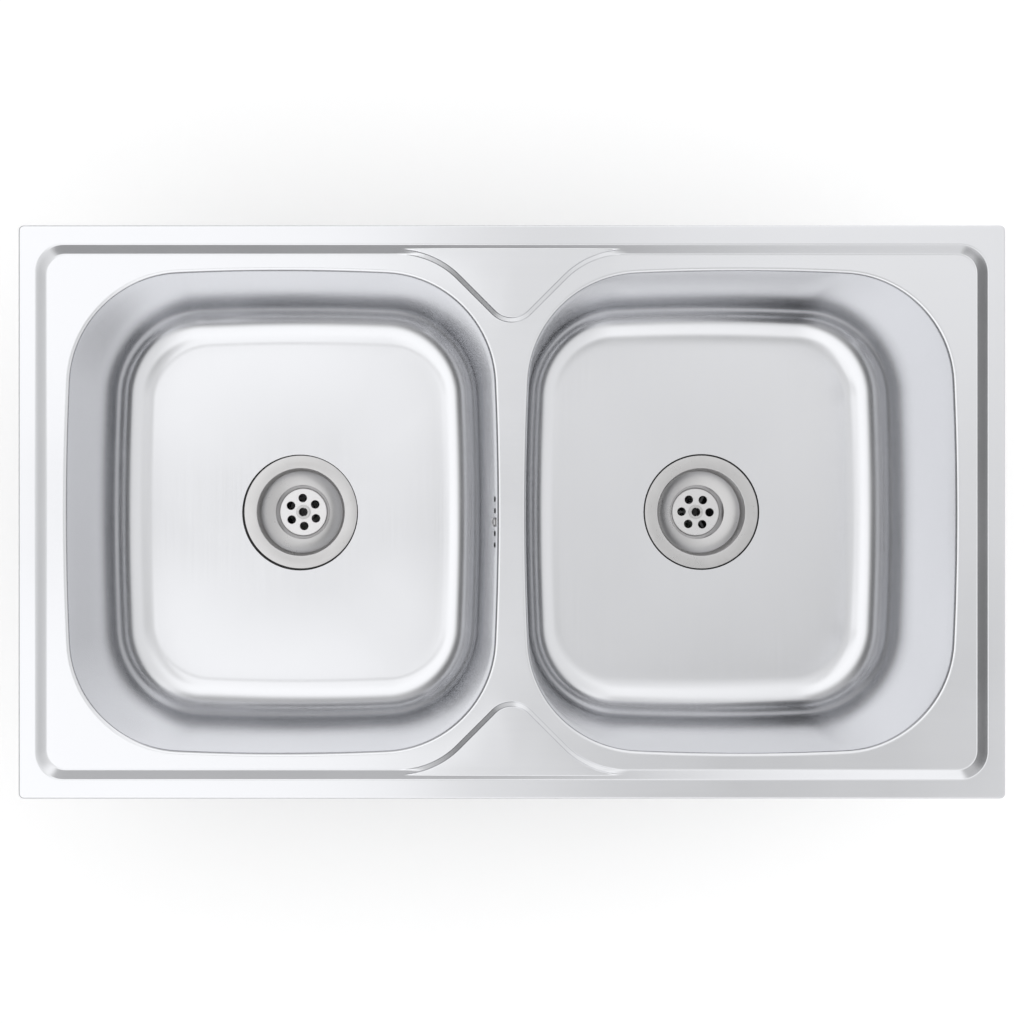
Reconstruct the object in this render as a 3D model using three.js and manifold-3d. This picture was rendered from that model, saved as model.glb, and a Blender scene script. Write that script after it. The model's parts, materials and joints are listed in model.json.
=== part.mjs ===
// Double bowl kitchen sink: an inset stainless steel top with two bowls, two strainer wastes,
// an overflow with its hose, and eight swing-out worktop clips.
// Millimetres. +X runs along the sink, +Y to its back and +Z up. z = 0 is the worktop's surface,
// and the origin is the centre of the worktop's cut-out.

import * as THREE from 'three';
import { mergeVertices } from 'three/addons/utils/BufferGeometryUtils.js';
import Module from 'manifold-3d';

const wasm = await Module();
wasm.setup();

// ---------------------------------------------------------------- driving dimensions

const fitGap = 0.3; // running or nesting gap between two pieces
const sheet = 0.8; // stainless sheet of the top and of the bowls

// The top: a flange on the worktop, a step down inside it, and a flat deck round the bowls.
const sinkLength = 860;
const sinkWidth = 500;
const sinkCornerRadius = 5;
const cutoutMargin = 10; // sink's edge to the edge of the worktop's cut-out
const rimRise = 2.3; // flange top above the worktop
const lipGap = 0.3; // turned-down edge to the worktop
const flangeWidthSide = 14.4; // left and right
const flangeWidthFront = 16.2; // front and back
const stepWidth = 8.7;
const stepDrop = 7;
const stepCornerRadius = 25;

// The two three-cornered panels between the bowls, part way up the step.
const panelRise = 4; // above the deck
const panelStepWidth = 4.8;
const panelDepth = 57.1; // foot of the outer step to the middle of the panel's step at its tip
const panelApexRadius = 22;
const panelSweepRadius = 75;
const panelFlankAngle = THREE.MathUtils.degToRad(45);

// The bowls.
const bowlMarginSide = 16.6; // flat deck from the step to a bowl, left and right
const bowlMarginFront = 13.6; // the same, front and back
const bowlBridge = 24.6; // deck between the bowls
const bowlCornerRadius = 99;
const bowlSideBow = 2500; // radius of the gently bowed left and right walls
const bowlEndBow = 2000; // radius of the gently bowed front and back walls
const bowlDepth = 143; // deck to the top of the waste's flange
const bowlFlange = 4; // turned-out edge under the deck
const wallDraft = THREE.MathUtils.degToRad(5.3);
const floorFillet = 36;
const floorFall = 2; // from the fillet down to the waste

// The strainer wastes: a pressed cup clamped to a moulded body by one hollow bolt.
const wasteOffset = 0.8; // waste's axis from its bowl's centre, towards the other bowl
const wasteHoleRadius = 45;
const seatWallRun = 1.2; // the seat's sloping edge, seen from above
const seatEdgeGap = 1.8; // seat edge to the waste's flange
const cupSheet = 1;
const cupFlangeRadius = 57.5;
const cupMouthRadius = 43.9;
const cupShoulderRadius = 39.8;
const cupShoulderDepth = 7;
const cupDishRadius = 26;
const cupDishDepth = 22;
const cupLedgeDepth = 26;
const cupLedgeWidth = 5;
const flangeSealThickness = 1.8;
const flangeSealProud = 0.7; // beyond the cup's flange
const flangeSealWidth = 12;
const plateRadius = 24.4;
const plateThickness = 1.2;
const plateHoleCount = 6;
const plateHoleRadius = 4.3;
const plateHoleCircle = 14.3;
const leftPlateTurn = THREE.MathUtils.degToRad(33);
const rightPlateTurn = THREE.MathUtils.degToRad(-1.5);
const boltHeadRadius = 7.2;
const boltHeadHeight = 1.6;
const boltShankRadius = 5.6;
const boltShankLength = 15.5;
const boltBoreRadius = 4.4;
const boltBoreDepth = 12;
const boltSlotWidth = 1.6;
const boltSlotReach = 5.7;
const boltSlotDepth = 1.4;
const gasketThickness = 2.5;
const gasketInnerRadius = 47;
const gasketOuterRadius = 57.5;
const bodyFlangeRadius = 58;
const bodyFlangeThickness = 3.9;
const bodyWall = 3.2;
const bodyInnerRadius = 46.8;
const bodyCupDepth = 25.4; // flange top to the start of the funnel
const funnelDepth = 15.5;
const outletBoreRadius = 19.5;
const outletRadius = 23.9;
const outletLength = 27;
const hubWall = 3.2;
const hubTopDrop = 1.5; // below the cup's ledge
const hubHeight = 13.5;
const ribCount = 3;
const ribThickness = 3;
const ribHeight = 10;
const ribDrop = 2.5; // below the hub's top
const insertWall = 2;
const insertFlangeRadius = 9.6;
const insertFlangeHeight = 0.8;

// The overflow in the left bowl's right wall, and its hose to the left waste.
const overflowY = -9;
const overflowDrop = 15; // slot centres below the deck
const slotCount = 5; // places in the row, and the middle one holds the screw
const slotPitch = 10.2;
const slotWidth = 5;
const slotHeight = 14;
const overflowSealThickness = 1.8;
const overflowSealWidth = 4;
const housingLength = 60;
const housingAbove = 13;
const housingBelow = 16;
const housingDepth = 20.5;
const housingWall = 2;
const screwBossRadius = 4;
const overflowScrewRadius = 1.8;
const overflowScrewLength = 12;
const overflowScrewHeadRadius = 4.2;
const overflowScrewHeadHeight = 2;
const spigotRadius = 8.4;
const spigotBoreRadius = 6.8;
const spigotLength = 24;
const spigotOffset = 14; // spigot axis from the bowl's wall
const inletDrop = 20; // inlet axis below the waste's flange
const inletReach = 78; // inlet's end from the waste's axis
const hoseBoreRadius = 9.4;
const hoseGrooveRadius = 10.8;
const hoseRibRadius = 12;
const hoseRibPitch = 8;
const hoseSides = 8;
const hoseBendRadius = 48;
const hoseStart = 4; // hose end from the housing
const hoseOverlap = 20; // hose pushed over the waste's inlet
const hoseClipBand = 0.8;
const hoseClipWidth = 9;
const hoseClipSetback = 4; // from the hose's end
const clipTunnel = [11, 7, 5]; // worm housing on the band: along it, across it, high

// Sound-deadening pads under the bowls' floors.
const padSize = 230;
const padCornerRadius = 12;
const padThickness = 2;
const padHoleRadius = 66;

// The foam seal under the flange.
const sealSetback = 1.5; // from the sink's edge
const sealCutoutGap = 1; // seal's inner edge to the edge of the cut-out

// The worktop clips. In a clip's own frame +X points out of the sink and z is the sink's.
const clipSetback = 1; // from the foot of the step
const clipCornerSetback = 61.9; // the outer clips along the front and back, from the side step
const bracketSheet = 1.2;
const bracketWidth = 24;
const bracketFlange = 9;
const earSpacing = 16; // between the ears
const earReach = 10;
const earAbove = 8; // above the pivot
const earBelow = 6; // below the pivot
const pivotDrop = 48; // below the worktop's surface
const pivotInset = 3.6;
const pinRadius = 2;
const pinProud = 1;
const barrelRadius = 3.7;
const barrelLength = 15;
const armThickness = 2.6;
const armWidth = 12;
const armLength = 34;
const clampArm = 25; // pivot to clamp screw
const clampBossRadius = 4.6;
const clampBossInner = 2.4; // boss inward of the pivot
const clampBossLength = 9;
const clampScrewRadius = 2.1;
const clampScrewLength = 24.5;
const clampTravel = 9;
const clampHeadRadius = 4;
const clampHeadHeight = 2.5;

// Facets.
const turnSegments = 24;
const smallSegments = 8;
const cornerSegments = 5;

// ---------------------------------------------------------------- levels and places

const deckTop = rimRise - stepDrop;
const deckUnder = deckTop - sheet;
const flangeUnder = rimRise - sheet;
const panelTop = deckTop + panelRise;
const panelUnder = panelTop - sheet;
const drainZ = deckTop - bowlDepth;
const seatDepth = flangeSealThickness + cupSheet;
const stepFootX = sinkLength / 2 - flangeWidthSide - stepWidth;
const stepFootY = sinkWidth / 2 - flangeWidthFront - stepWidth;
const panelApexY = stepFootY - panelDepth;
const bowlLength = stepFootX - bowlMarginSide - bowlBridge / 2;
const bowlWidth = 2 * (stepFootY - bowlMarginFront);
const bowlX = (bowlLength + bowlBridge) / 2;
const wasteX = bowlX - wasteOffset;
const clipEndX = stepFootX - clipCornerSetback;
const sealWidth = cutoutMargin - sealSetback - sealCutoutGap;
const deckBlockZ = deckUnder - 20;
const lipTrim = 2.5; // half the band in which the turned-down edge is cut to length

// ---------------------------------------------------------------- finishes

const steel = { color: 0xc9ccd0, roughness: 0.32, metalness: 1 };
const platedSteel = { color: 0xb4b6b8, roughness: 0.4, metalness: 1 };
const rubber = { color: 0x151515, roughness: 0.8, metalness: 0 };
const foam = { color: 0x3a3b3d, roughness: 0.95, metalness: 0 };
const plastic = { color: 0x2a2c2f, roughness: 0.55, metalness: 0 };
const brass = { color: 0xb08d46, roughness: 0.35, metalness: 1 };
const bitumen = { color: 0x4b4c4e, roughness: 0.9, metalness: 0 };

// ---------------------------------------------------------------- solids

function solidOf(geometry) {
  const bare = new THREE.BufferGeometry();
  bare.setAttribute('position', geometry.getAttribute('position').clone());
  if (geometry.index) bare.setIndex(geometry.index.clone());
  const merged = mergeVertices(bare);
  const points = merged.getAttribute('position');
  const corners = [];
  let volume = 0;
  const a = new THREE.Vector3();
  const b = new THREE.Vector3();
  const c = new THREE.Vector3();
  for (let i = 0; i < merged.index.count; i += 3) {
    const [p, q, r] = [0, 1, 2].map((k) => merged.index.getX(i + k));
    if (p === q || q === r || r === p) continue;
    corners.push(p, q, r);
    a.fromBufferAttribute(points, p);
    b.fromBufferAttribute(points, q);
    c.fromBufferAttribute(points, r);
    volume += a.dot(b.cross(c));
  }
  if (volume < 0) corners.reverse();
  return new wasm.Manifold(new wasm.Mesh({
    numProp: 3,
    vertProperties: new Float32Array(points.array),
    triVerts: new Uint32Array(corners),
  }));
}

function geometryOf(solid) {
  const mesh = solid.getMesh();
  const geometry = new THREE.BufferGeometry();
  geometry.setAttribute('position', new THREE.BufferAttribute(mesh.vertProperties, 3));
  geometry.setIndex(new THREE.BufferAttribute(mesh.triVerts, 1));
  geometry.computeVertexNormals();
  return geometry;
}

function piece(parent, name, solid, finish) {
  const mesh = new THREE.Mesh(geometryOf(solid), new THREE.MeshStandardMaterial(finish));
  mesh.name = name;
  parent.add(mesh);
  return mesh;
}

function union(solids) {
  return solids.reduce((whole, next) => whole.add(next));
}

function box([x0, x1], [y0, y1], [z0, z1]) {
  const geometry = new THREE.BoxGeometry(x1 - x0, y1 - y0, z1 - z0);
  return solidOf(geometry.translate((x0 + x1) / 2, (y0 + y1) / 2, (z0 + z1) / 2));
}

function prism(loop, z0, z1) {
  const geometry = new THREE.ExtrudeGeometry(new THREE.Shape(loop), {
    depth: z1 - z0,
    bevelEnabled: false,
  });
  return solidOf(geometry.translate(0, 0, z0));
}

// A solid of revolution about Z from a closed outline of [radius, z] points.
function turned(outline, segments = turnSegments) {
  const points = [...outline, outline[0]].map(([radius, z]) => new THREE.Vector2(radius, z));
  return solidOf(new THREE.LatheGeometry(points, segments).rotateX(Math.PI / 2));
}

function turnedRing(inner, outer, z0, z1, segments = turnSegments) {
  return turned([[inner, z0], [outer, z0], [outer, z1], [inner, z1]], segments);
}

// A plain cylinder along Z, or along X or Y when its axis says so.
function rod(radius, z0, z1, axis = 'z', segments = smallSegments) {
  const geometry = new THREE.CylinderGeometry(radius, radius, z1 - z0, segments);
  geometry.translate(0, (z0 + z1) / 2, 0);
  if (axis === 'z') geometry.rotateX(Math.PI / 2);
  if (axis === 'x') geometry.rotateZ(-Math.PI / 2);
  return solidOf(geometry);
}

// A skin through loops of equal counts: a solid with end caps, or a ring that closes on itself.
function loft(loops, closed) {
  const count = loops[0].length;
  const position = new Float32Array(loops.flat().flatMap((point) => point.toArray()));
  const index = [];
  const last = closed ? loops.length : loops.length - 1;
  for (let k = 0; k < last; k += 1) {
    const below = k * count;
    const above = ((k + 1) % loops.length) * count;
    for (let i = 0; i < count; i += 1) {
      const j = (i + 1) % count;
      index.push(below + i, below + j, above + j, below + i, above + j, above + i);
    }
  }
  if (!closed) {
    const flat = loops[0].map((point) => new THREE.Vector2(point.x, point.y));
    const top = (loops.length - 1) * count;
    const lid = loops.at(-1).map((point) => new THREE.Vector2(point.x, point.y));
    THREE.ShapeUtils.triangulateShape(flat, []).forEach(([p, q, r]) => index.push(p, r, q));
    THREE.ShapeUtils.triangulateShape(lid, []).forEach(([p, q, r]) => {
      index.push(top + p, top + q, top + r);
    });
  }
  const geometry = new THREE.BufferGeometry();
  geometry.setAttribute('position', new THREE.BufferAttribute(position, 3));
  geometry.setIndex(index);
  return solidOf(geometry);
}

function level(loop, z) {
  return loop.map((point) => new THREE.Vector3(point.x, point.y, z));
}

// The other face of a bent sheet: each corner of the path moved square to it, to the right.
function offsetPath(path, distance) {
  return path.map((point, i) => {
    const before = path[Math.max(i - 1, 0)];
    const after = path[Math.min(i + 1, path.length - 1)];
    const into = point.clone().sub(before).normalize();
    const out = after.clone().sub(point).normalize();
    if (i === 0) into.copy(out);
    if (i === path.length - 1) out.copy(into);
    const square = new THREE.Vector2(into.y + out.y, -into.x - out.x).normalize();
    const stretch = square.dot(new THREE.Vector2(into.y, -into.x));
    return point.clone().addScaledVector(square, distance / stretch);
  });
}

// ---------------------------------------------------------------- outlines

function roundedRectangle(halfX, halfY, radius) {
  const loop = [];
  [[1, 1], [-1, 1], [-1, -1], [1, -1]].forEach(([sx, sy], quarter) => {
    for (let i = 0; i <= cornerSegments; i += 1) {
      const angle = (quarter + i / cornerSegments) * Math.PI / 2;
      const x = sx * (halfX - radius) + radius * Math.cos(angle);
      const y = sy * (halfY - radius) + radius * Math.sin(angle);
      loop.push(new THREE.Vector2(x, y));
    }
  });
  return loop;
}

// One quarter of a bowl's outline: bowed side, corner arc, bowed end, each tangent to the next.
function bowlQuarter(inset) {
  const halfX = bowlLength / 2 - inset;
  const halfY = bowlWidth / 2 - inset;
  const side = bowlSideBow - inset;
  const end = bowlEndBow - inset;
  const corner = bowlCornerRadius - inset;
  const sideCentre = new THREE.Vector2(halfX - side, 0);
  const endCentre = new THREE.Vector2(0, halfY - end);
  const between = endCentre.clone().sub(sideCentre);
  const span = between.length();
  const along = ((side - corner) ** 2 - (end - corner) ** 2 + span ** 2) / (2 * span);
  const across = Math.sqrt((side - corner) ** 2 - along ** 2);
  between.divideScalar(span);
  const cornerCentre = sideCentre.clone().addScaledVector(between, along);
  cornerCentre.add(new THREE.Vector2(-between.y, between.x).multiplyScalar(across));
  const first = cornerCentre.clone().sub(sideCentre).angle();
  const second = cornerCentre.clone().sub(endCentre).angle();
  const arcs = [
    [sideCentre, side, 0, first, 2],
    [cornerCentre, corner, first, second, cornerSegments],
    [endCentre, end, second, Math.PI / 2, 2],
  ];
  return arcs.flatMap(([centre, radius, from, to, steps]) => {
    const turn = (i) => from + (to - from) * i / steps;
    return Array.from({ length: steps }, (_, i) => new THREE.Vector2(
      centre.x + radius * Math.cos(turn(i)),
      centre.y + radius * Math.sin(turn(i)),
    ));
  });
}

function bowlLoop(inset) {
  const quarter = bowlQuarter(inset);
  const topMiddle = new THREE.Vector2(0, bowlWidth / 2 - inset);
  const mirrored = [...quarter.slice(1), topMiddle].reverse();
  const half = [...quarter, ...mirrored.map((point) => new THREE.Vector2(-point.x, point.y))];
  return [...half, ...half.map((point) => new THREE.Vector2(-point.x, -point.y))];
}

// A circle round the waste's axis with as many points as the bowl's outline.
function drainLoop(radius) {
  const shift = bowlX - wasteX;
  return bowlLoop(0).map((_, i, loop) => {
    const angle = i * 2 * Math.PI / loop.length;
    return new THREE.Vector2(shift + radius * Math.cos(angle), radius * Math.sin(angle));
  });
}

// A panel's edge at the back of the sink, moved towards the panel's middle by an offset.
function panelLoop(offset) {
  const apex = panelApexRadius - offset;
  const sweep = panelSweepRadius + offset;
  const rootY = stepFootY + panelStepWidth / 2 + offset;
  const apexY = panelApexY + offset;
  const sine = Math.sin(panelFlankAngle);
  const cosine = Math.cos(panelFlankAngle);
  const flankStartY = apexY + apex * (1 - cosine);
  const flankEndY = rootY - sweep * (1 - cosine);
  const flankEndX = apex * sine + (flankEndY - flankStartY) / Math.tan(panelFlankAngle);
  const rootX = flankEndX + sweep * sine;
  const side = [];
  for (let i = 1; i <= 4; i += 1) {
    const angle = panelFlankAngle * i / 4;
    side.push([apex * Math.sin(angle), apexY + apex * (1 - Math.cos(angle))]);
  }
  for (let i = 4; i >= 0; i -= 1) {
    const angle = panelFlankAngle * i / 4;
    side.push([rootX - sweep * Math.sin(angle), rootY - sweep * (1 - Math.cos(angle))]);
  }
  side.push([rootX, sinkWidth / 2 - sinkCornerRadius]);
  const right = side.map(([x, y]) => new THREE.Vector2(x, y));
  const left = side.map(([x, y]) => new THREE.Vector2(-x, y)).reverse();
  return [new THREE.Vector2(0, apexY), ...right, ...left];
}

// ---------------------------------------------------------------- the top

function panelBlock(turn) {
  const half = panelStepWidth / 2;
  const block = loft([
    level(panelLoop(-half), deckTop - 1),
    level(panelLoop(-half), deckTop),
    level(panelLoop(half), panelTop),
  ], false);
  return turn ? block.rotate([0, 0, 180]) : block;
}

function topSheet() {
  const edge = (inset) => roundedRectangle(
    sinkLength / 2 - inset,
    sinkWidth / 2 - inset,
    sinkCornerRadius - inset,
  );
  const mouth = roundedRectangle(stepFootX + stepWidth, stepFootY + stepWidth, stepCornerRadius);
  const foot = roundedRectangle(stepFootX, stepFootY, stepCornerRadius - stepWidth);
  const basin = loft([level(foot, deckTop), level(mouth, rimRise), level(mouth, rimRise + 1)], false);
  const recess = basin.subtract(panelBlock(false)).subtract(panelBlock(true));
  const form = (inset) => prism(edge(inset), deckBlockZ, rimRise).subtract(recess);
  const opening = prism(bowlLoop(0), deckBlockZ - 1, rimRise + 1);
  const belowLip = prism(edge(-lipTrim), deckBlockZ - 1, lipGap)
    .subtract(prism(edge(lipTrim), deckBlockZ - 2, rimRise));
  return form(0)
    .subtract(form(sheet).translate([0, 0, -sheet]))
    .subtract(opening.translate([-bowlX, 0, 0]))
    .subtract(opening.translate([bowlX, 0, 0]))
    .subtract(belowLip);
}

function rimSeal() {
  const ring = (inset) => roundedRectangle(
    sinkLength / 2 - inset,
    sinkWidth / 2 - inset,
    Math.max(sinkCornerRadius - inset, 1),
  );
  const outer = prism(ring(sealSetback), 0, flangeUnder);
  return outer.subtract(prism(ring(sealSetback + sealWidth), -1, rimRise));
}

// ---------------------------------------------------------------- the bowls

// A bowl's wet face as [run, z] points. The run counts inwards from the rim, and past the floor's
// fillet it goes on to the waste's axis, where a point's radius is wasteAxisRun less its run.
const wasteAxisRun = bowlLength / 2;
const seatTopRadius = cupFlangeRadius + seatEdgeGap + seatWallRun;
const floorStartZ = drainZ + floorFall;
const filletTopZ = floorStartZ + floorFillet * (1 - Math.sin(wallDraft));
const filletTopRun = (deckUnder - filletTopZ) * Math.tan(wallDraft);
const filletCentreRun = filletTopRun + floorFillet * Math.cos(wallDraft);
const filletSteps = 4;

function bowlPath() {
  const path = [new THREE.Vector2(-bowlFlange, deckUnder), new THREE.Vector2(0, deckUnder)];
  for (let i = 0; i <= filletSteps; i += 1) {
    const angle = wallDraft + (Math.PI / 2 - wallDraft) * i / filletSteps;
    path.push(new THREE.Vector2(
      filletCentreRun - floorFillet * Math.cos(angle),
      floorStartZ + floorFillet * (1 - Math.sin(angle)),
    ));
  }
  const seatRadius = seatTopRadius - seatWallRun;
  path.push(new THREE.Vector2(wasteAxisRun - seatTopRadius, drainZ));
  path.push(new THREE.Vector2(wasteAxisRun - seatRadius, drainZ - seatDepth));
  path.push(new THREE.Vector2(wasteAxisRun - wasteHoleRadius, drainZ - seatDepth));
  return path;
}

function bowlRings(path) {
  const fromDrain = path.length - 3;
  return path.map((point, i) => {
    const loop = i < fromDrain ? bowlLoop(point.x) : drainLoop(wasteAxisRun - point.x);
    return level(loop, point.y);
  });
}

function bowlShell() {
  const wet = bowlPath();
  const dry = offsetPath(wet, sheet);
  return loft([...bowlRings(wet), ...bowlRings(dry).reverse()], true);
}

// A flat pad with a round hole, dished a little to follow the floor's fall.
function soundPad() {
  const half = padSize / 2;
  const outline = roundedRectangle(half, half, padCornerRadius);
  const hole = outline.map((_, i) => {
    const angle = (i - cornerSegments / 2) * 2 * Math.PI / outline.length + Math.PI / 4;
    return new THREE.Vector2(padHoleRadius * Math.cos(angle), padHoleRadius * Math.sin(angle));
  });
  const floorRun = bowlWidth / 2 - filletCentreRun - seatTopRadius;
  const rise = floorFall * (half - seatTopRadius) / floorRun;
  const top = drainZ - sheet - fitGap;
  return loft([
    level(outline, top + rise),
    level(hole, top),
    level(hole, top - padThickness),
    level(outline, top + rise - padThickness),
  ], true);
}

// The frame on the outside of the left bowl's right wall: +X out of the bowl, Z up the wall.
const overflowFrame = new THREE.Group();
const overflowRun = (deckUnder - (deckTop - overflowDrop)) * Math.tan(wallDraft);
overflowFrame.position.set(
  -bowlX + bowlLength / 2 - overflowRun + sheet / Math.cos(wallDraft),
  overflowY,
  deckTop - overflowDrop,
);
overflowFrame.rotation.y = wallDraft;
overflowFrame.updateMatrixWorld();

function overflowCut() {
  const slotShape = new THREE.Shape();
  const half = slotWidth / 2;
  const straight = slotHeight / 2 - half;
  slotShape.absarc(0, straight, half, 0, Math.PI);
  slotShape.absarc(0, -straight, half, Math.PI, 2 * Math.PI);
  const slot = new THREE.ExtrudeGeometry(slotShape, {
    depth: 20,
    bevelEnabled: false,
    curveSegments: 4,
  });
  slot.rotateX(Math.PI / 2).rotateZ(Math.PI / 2).translate(-10, 0, 0);
  const middle = (slotCount - 1) / 2;
  const cuts = [];
  for (let i = 0; i < slotCount; i += 1) {
    const place = (i - middle) * slotPitch;
    cuts.push(i === middle
      ? rod(overflowScrewRadius + fitGap, -10, 10, 'x')
      : solidOf(slot.clone().translate(0, place, 0)));
  }
  return union(cuts).transform(overflowFrame.matrixWorld.elements);
}

// ---------------------------------------------------------------- the strainer wastes

// The dish's wall is part straight cone and part arc, blended by these shares.
const dishSteps = 3;
const dishCone = 0.45;
const dishArc = 1 - dishCone;

function strainerCup() {
  const path = [
    [cupFlangeRadius, 0],
    [cupMouthRadius, 0],
    [cupMouthRadius - cupSheet, -cupSheet],
    [cupShoulderRadius, -cupShoulderDepth],
  ];
  for (let i = 1; i <= dishSteps; i += 1) {
    const along = i / dishSteps;
    const turn = along * Math.PI / 2;
    const inward = dishCone * along + dishArc * (1 - Math.cos(turn));
    const downward = dishCone * along + dishArc * Math.sin(turn);
    path.push([
      cupShoulderRadius - inward * (cupShoulderRadius - cupDishRadius),
      -cupShoulderDepth - downward * (cupDishDepth - cupShoulderDepth),
    ]);
  }
  path.push([plateRadius + fitGap, -cupLedgeDepth]);
  path.push([plateRadius + fitGap - cupLedgeWidth, -cupLedgeDepth]);
  const top = path.map(([radius, z]) => new THREE.Vector2(radius, z));
  const under = offsetPath(top, -cupSheet).reverse();
  return turned([...top, ...under].map((point) => [point.x, point.y]));
}

function flangeSeal() {
  const outer = cupFlangeRadius + flangeSealProud;
  return turnedRing(outer - flangeSealWidth, outer, -seatDepth, -seatDepth + flangeSealThickness);
}

function sievePlate(turn) {
  const top = -cupLedgeDepth + plateThickness;
  const holes = [rod(boltShankRadius + fitGap, -cupLedgeDepth - 1, top + 1)];
  for (let i = 0; i < plateHoleCount; i += 1) {
    const angle = turn + i * 2 * Math.PI / plateHoleCount;
    const hole = rod(plateHoleRadius, -cupLedgeDepth - 1, top + 1);
    holes.push(hole.translate([
      plateHoleCircle * Math.cos(angle),
      plateHoleCircle * Math.sin(angle),
      0,
    ]));
  }
  return rod(plateRadius, -cupLedgeDepth, top, 'z', turnSegments).subtract(union(holes));
}

function centreBolt() {
  const seat = -cupLedgeDepth + plateThickness;
  const top = seat + boltHeadHeight;
  const slot = box(
    [-boltSlotReach, boltSlotReach],
    [-boltSlotWidth / 2, boltSlotWidth / 2],
    [top - boltSlotDepth, top + 1],
  );
  return rod(boltHeadRadius, seat, top, 'z', 16)
    .add(rod(boltShankRadius, seat - boltShankLength, seat + boltHeadHeight / 2))
    .subtract(rod(boltBoreRadius, top - boltBoreDepth, top + 1))
    .subtract(slot);
}

const insertBoreRadius = boltShankRadius + fitGap;
const insertRadius = insertBoreRadius + insertWall;
const hubTop = -cupLedgeDepth - cupSheet - hubTopDrop;

function threadedInsert() {
  return turned([
    [insertBoreRadius, hubTop - hubHeight],
    [insertRadius, hubTop - hubHeight],
    [insertRadius, hubTop],
    [insertFlangeRadius, hubTop],
    [insertFlangeRadius, hubTop + insertFlangeHeight],
    [insertBoreRadius, hubTop + insertFlangeHeight],
  ], smallSegments + 2);
}

function bodyGasket() {
  const top = -seatDepth - sheet;
  return turnedRing(gasketInnerRadius, gasketOuterRadius, top - gasketThickness, top);
}

const bodyTop = -seatDepth - sheet - gasketThickness;
const funnelTop = bodyTop - bodyCupDepth;
const funnelFoot = funnelTop - funnelDepth;
const outletEnd = funnelFoot - outletLength;

function wasteBody(withInlet) {
  const outerRadius = bodyInnerRadius + bodyWall;
  const shell = turned([
    [bodyInnerRadius, bodyTop],
    [bodyFlangeRadius, bodyTop],
    [bodyFlangeRadius, bodyTop - bodyFlangeThickness],
    [outerRadius, bodyTop - bodyFlangeThickness - bodyWall],
    [outerRadius, funnelTop - bodyWall / 2],
    [outletRadius, funnelFoot - bodyWall / 2],
    [outletRadius, outletEnd],
    [outletBoreRadius, outletEnd],
    [outletBoreRadius, funnelFoot],
    [bodyInnerRadius, funnelTop],
  ]);
  const hubRadius = insertRadius + fitGap + hubWall;
  const hub = turnedRing(insertRadius + fitGap, hubRadius, hubTop - hubHeight, hubTop, 12);
  const ribTop = hubTop - ribDrop;
  const parts = [shell, hub];
  for (let i = 0; i < ribCount; i += 1) {
    const rib = box(
      [hubRadius - hubWall / 2, bodyInnerRadius + bodyWall / 2],
      [-ribThickness / 2, ribThickness / 2],
      [ribTop - ribHeight, ribTop],
    );
    parts.push(rib.rotate([0, 0, 60 + i * 360 / ribCount]));
  }
  if (!withInlet) return union(parts);
  const inlet = rod(spigotRadius, bodyInnerRadius, inletReach, 'x', 12);
  const bore = rod(spigotBoreRadius, bodyInnerRadius - bodyWall, inletReach + 1, 'x', 12);
  return union([...parts, inlet.translate([0, 0, -inletDrop])])
    .subtract(bore.translate([0, 0, -inletDrop]));
}

function addWaste(parent, side, x, plateTurn) {
  const waste = new THREE.Group();
  waste.position.set(x, 0, drainZ);
  parent.add(waste);
  piece(waste, `${side}_strainer_cup`, strainerCup(), steel);
  piece(waste, `${side}_flange_seal`, flangeSeal(), rubber);
  piece(waste, `${side}_sieve_plate`, sievePlate(plateTurn), steel);
  piece(waste, `${side}_centre_bolt`, centreBolt(), steel);
  piece(waste, `${side}_threaded_insert`, threadedInsert(), brass);
  piece(waste, `${side}_body_gasket`, bodyGasket(), rubber);
  piece(waste, `${side}_waste_body`, wasteBody(side === 'left'), plastic);
}

// ---------------------------------------------------------------- the overflow

const sealFace = fitGap;
const housingFace = sealFace + overflowSealThickness + fitGap;

function overflowSeal() {
  const half = housingLength / 2;
  const depth = [sealFace, sealFace + overflowSealThickness];
  const inner = box(
    [sealFace - 1, housingFace],
    [-half + overflowSealWidth, half - overflowSealWidth],
    [-housingBelow + overflowSealWidth, housingAbove - overflowSealWidth],
  );
  return box(depth, [-half, half], [-housingBelow, housingAbove]).subtract(inner);
}

function overflowHousing() {
  const half = housingLength / 2;
  const back = housingFace + housingDepth;
  const shell = box([housingFace, back], [-half, half], [-housingBelow, housingAbove]);
  const hollow = box(
    [housingFace - 1, back - housingWall],
    [-half + housingWall, half - housingWall],
    [-housingBelow + housingWall, housingAbove - housingWall],
  );
  const boss = rod(screwBossRadius, housingFace, back - housingWall / 2, 'x');
  const spigotEnd = -housingBelow - spigotLength;
  const spigotRoot = -housingBelow + housingWall;
  const spigot = rod(spigotRadius, spigotEnd, spigotRoot, 'z', 12);
  const bore = rod(spigotBoreRadius, spigotEnd - 1, spigotRoot + 1, 'z', 12);
  const screwBoreRadius = overflowScrewRadius + fitGap;
  const screwBore = rod(screwBoreRadius, housingFace - 1, overflowScrewLength + fitGap, 'x');
  return shell
    .subtract(hollow)
    .add(boss)
    .add(spigot.translate([spigotOffset, 0, 0]))
    .subtract(bore.translate([spigotOffset, 0, 0]))
    .subtract(screwBore);
}

function overflowScrew() {
  const seat = -sheet - fitGap;
  const head = turned([
    [0, 0],
    [overflowScrewHeadRadius, 0],
    [overflowScrewHeadRadius, overflowScrewHeadHeight * 0.4],
    [overflowScrewHeadRadius * 0.6, overflowScrewHeadHeight],
    [0, overflowScrewHeadHeight],
  ], 12);
  const shankStart = seat - overflowScrewHeadHeight / 2;
  const shank = rod(overflowScrewRadius, shankStart, overflowScrewLength, 'x');
  return head.rotate([0, -90, 0]).translate([seat, 0, 0]).add(shank);
}

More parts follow.
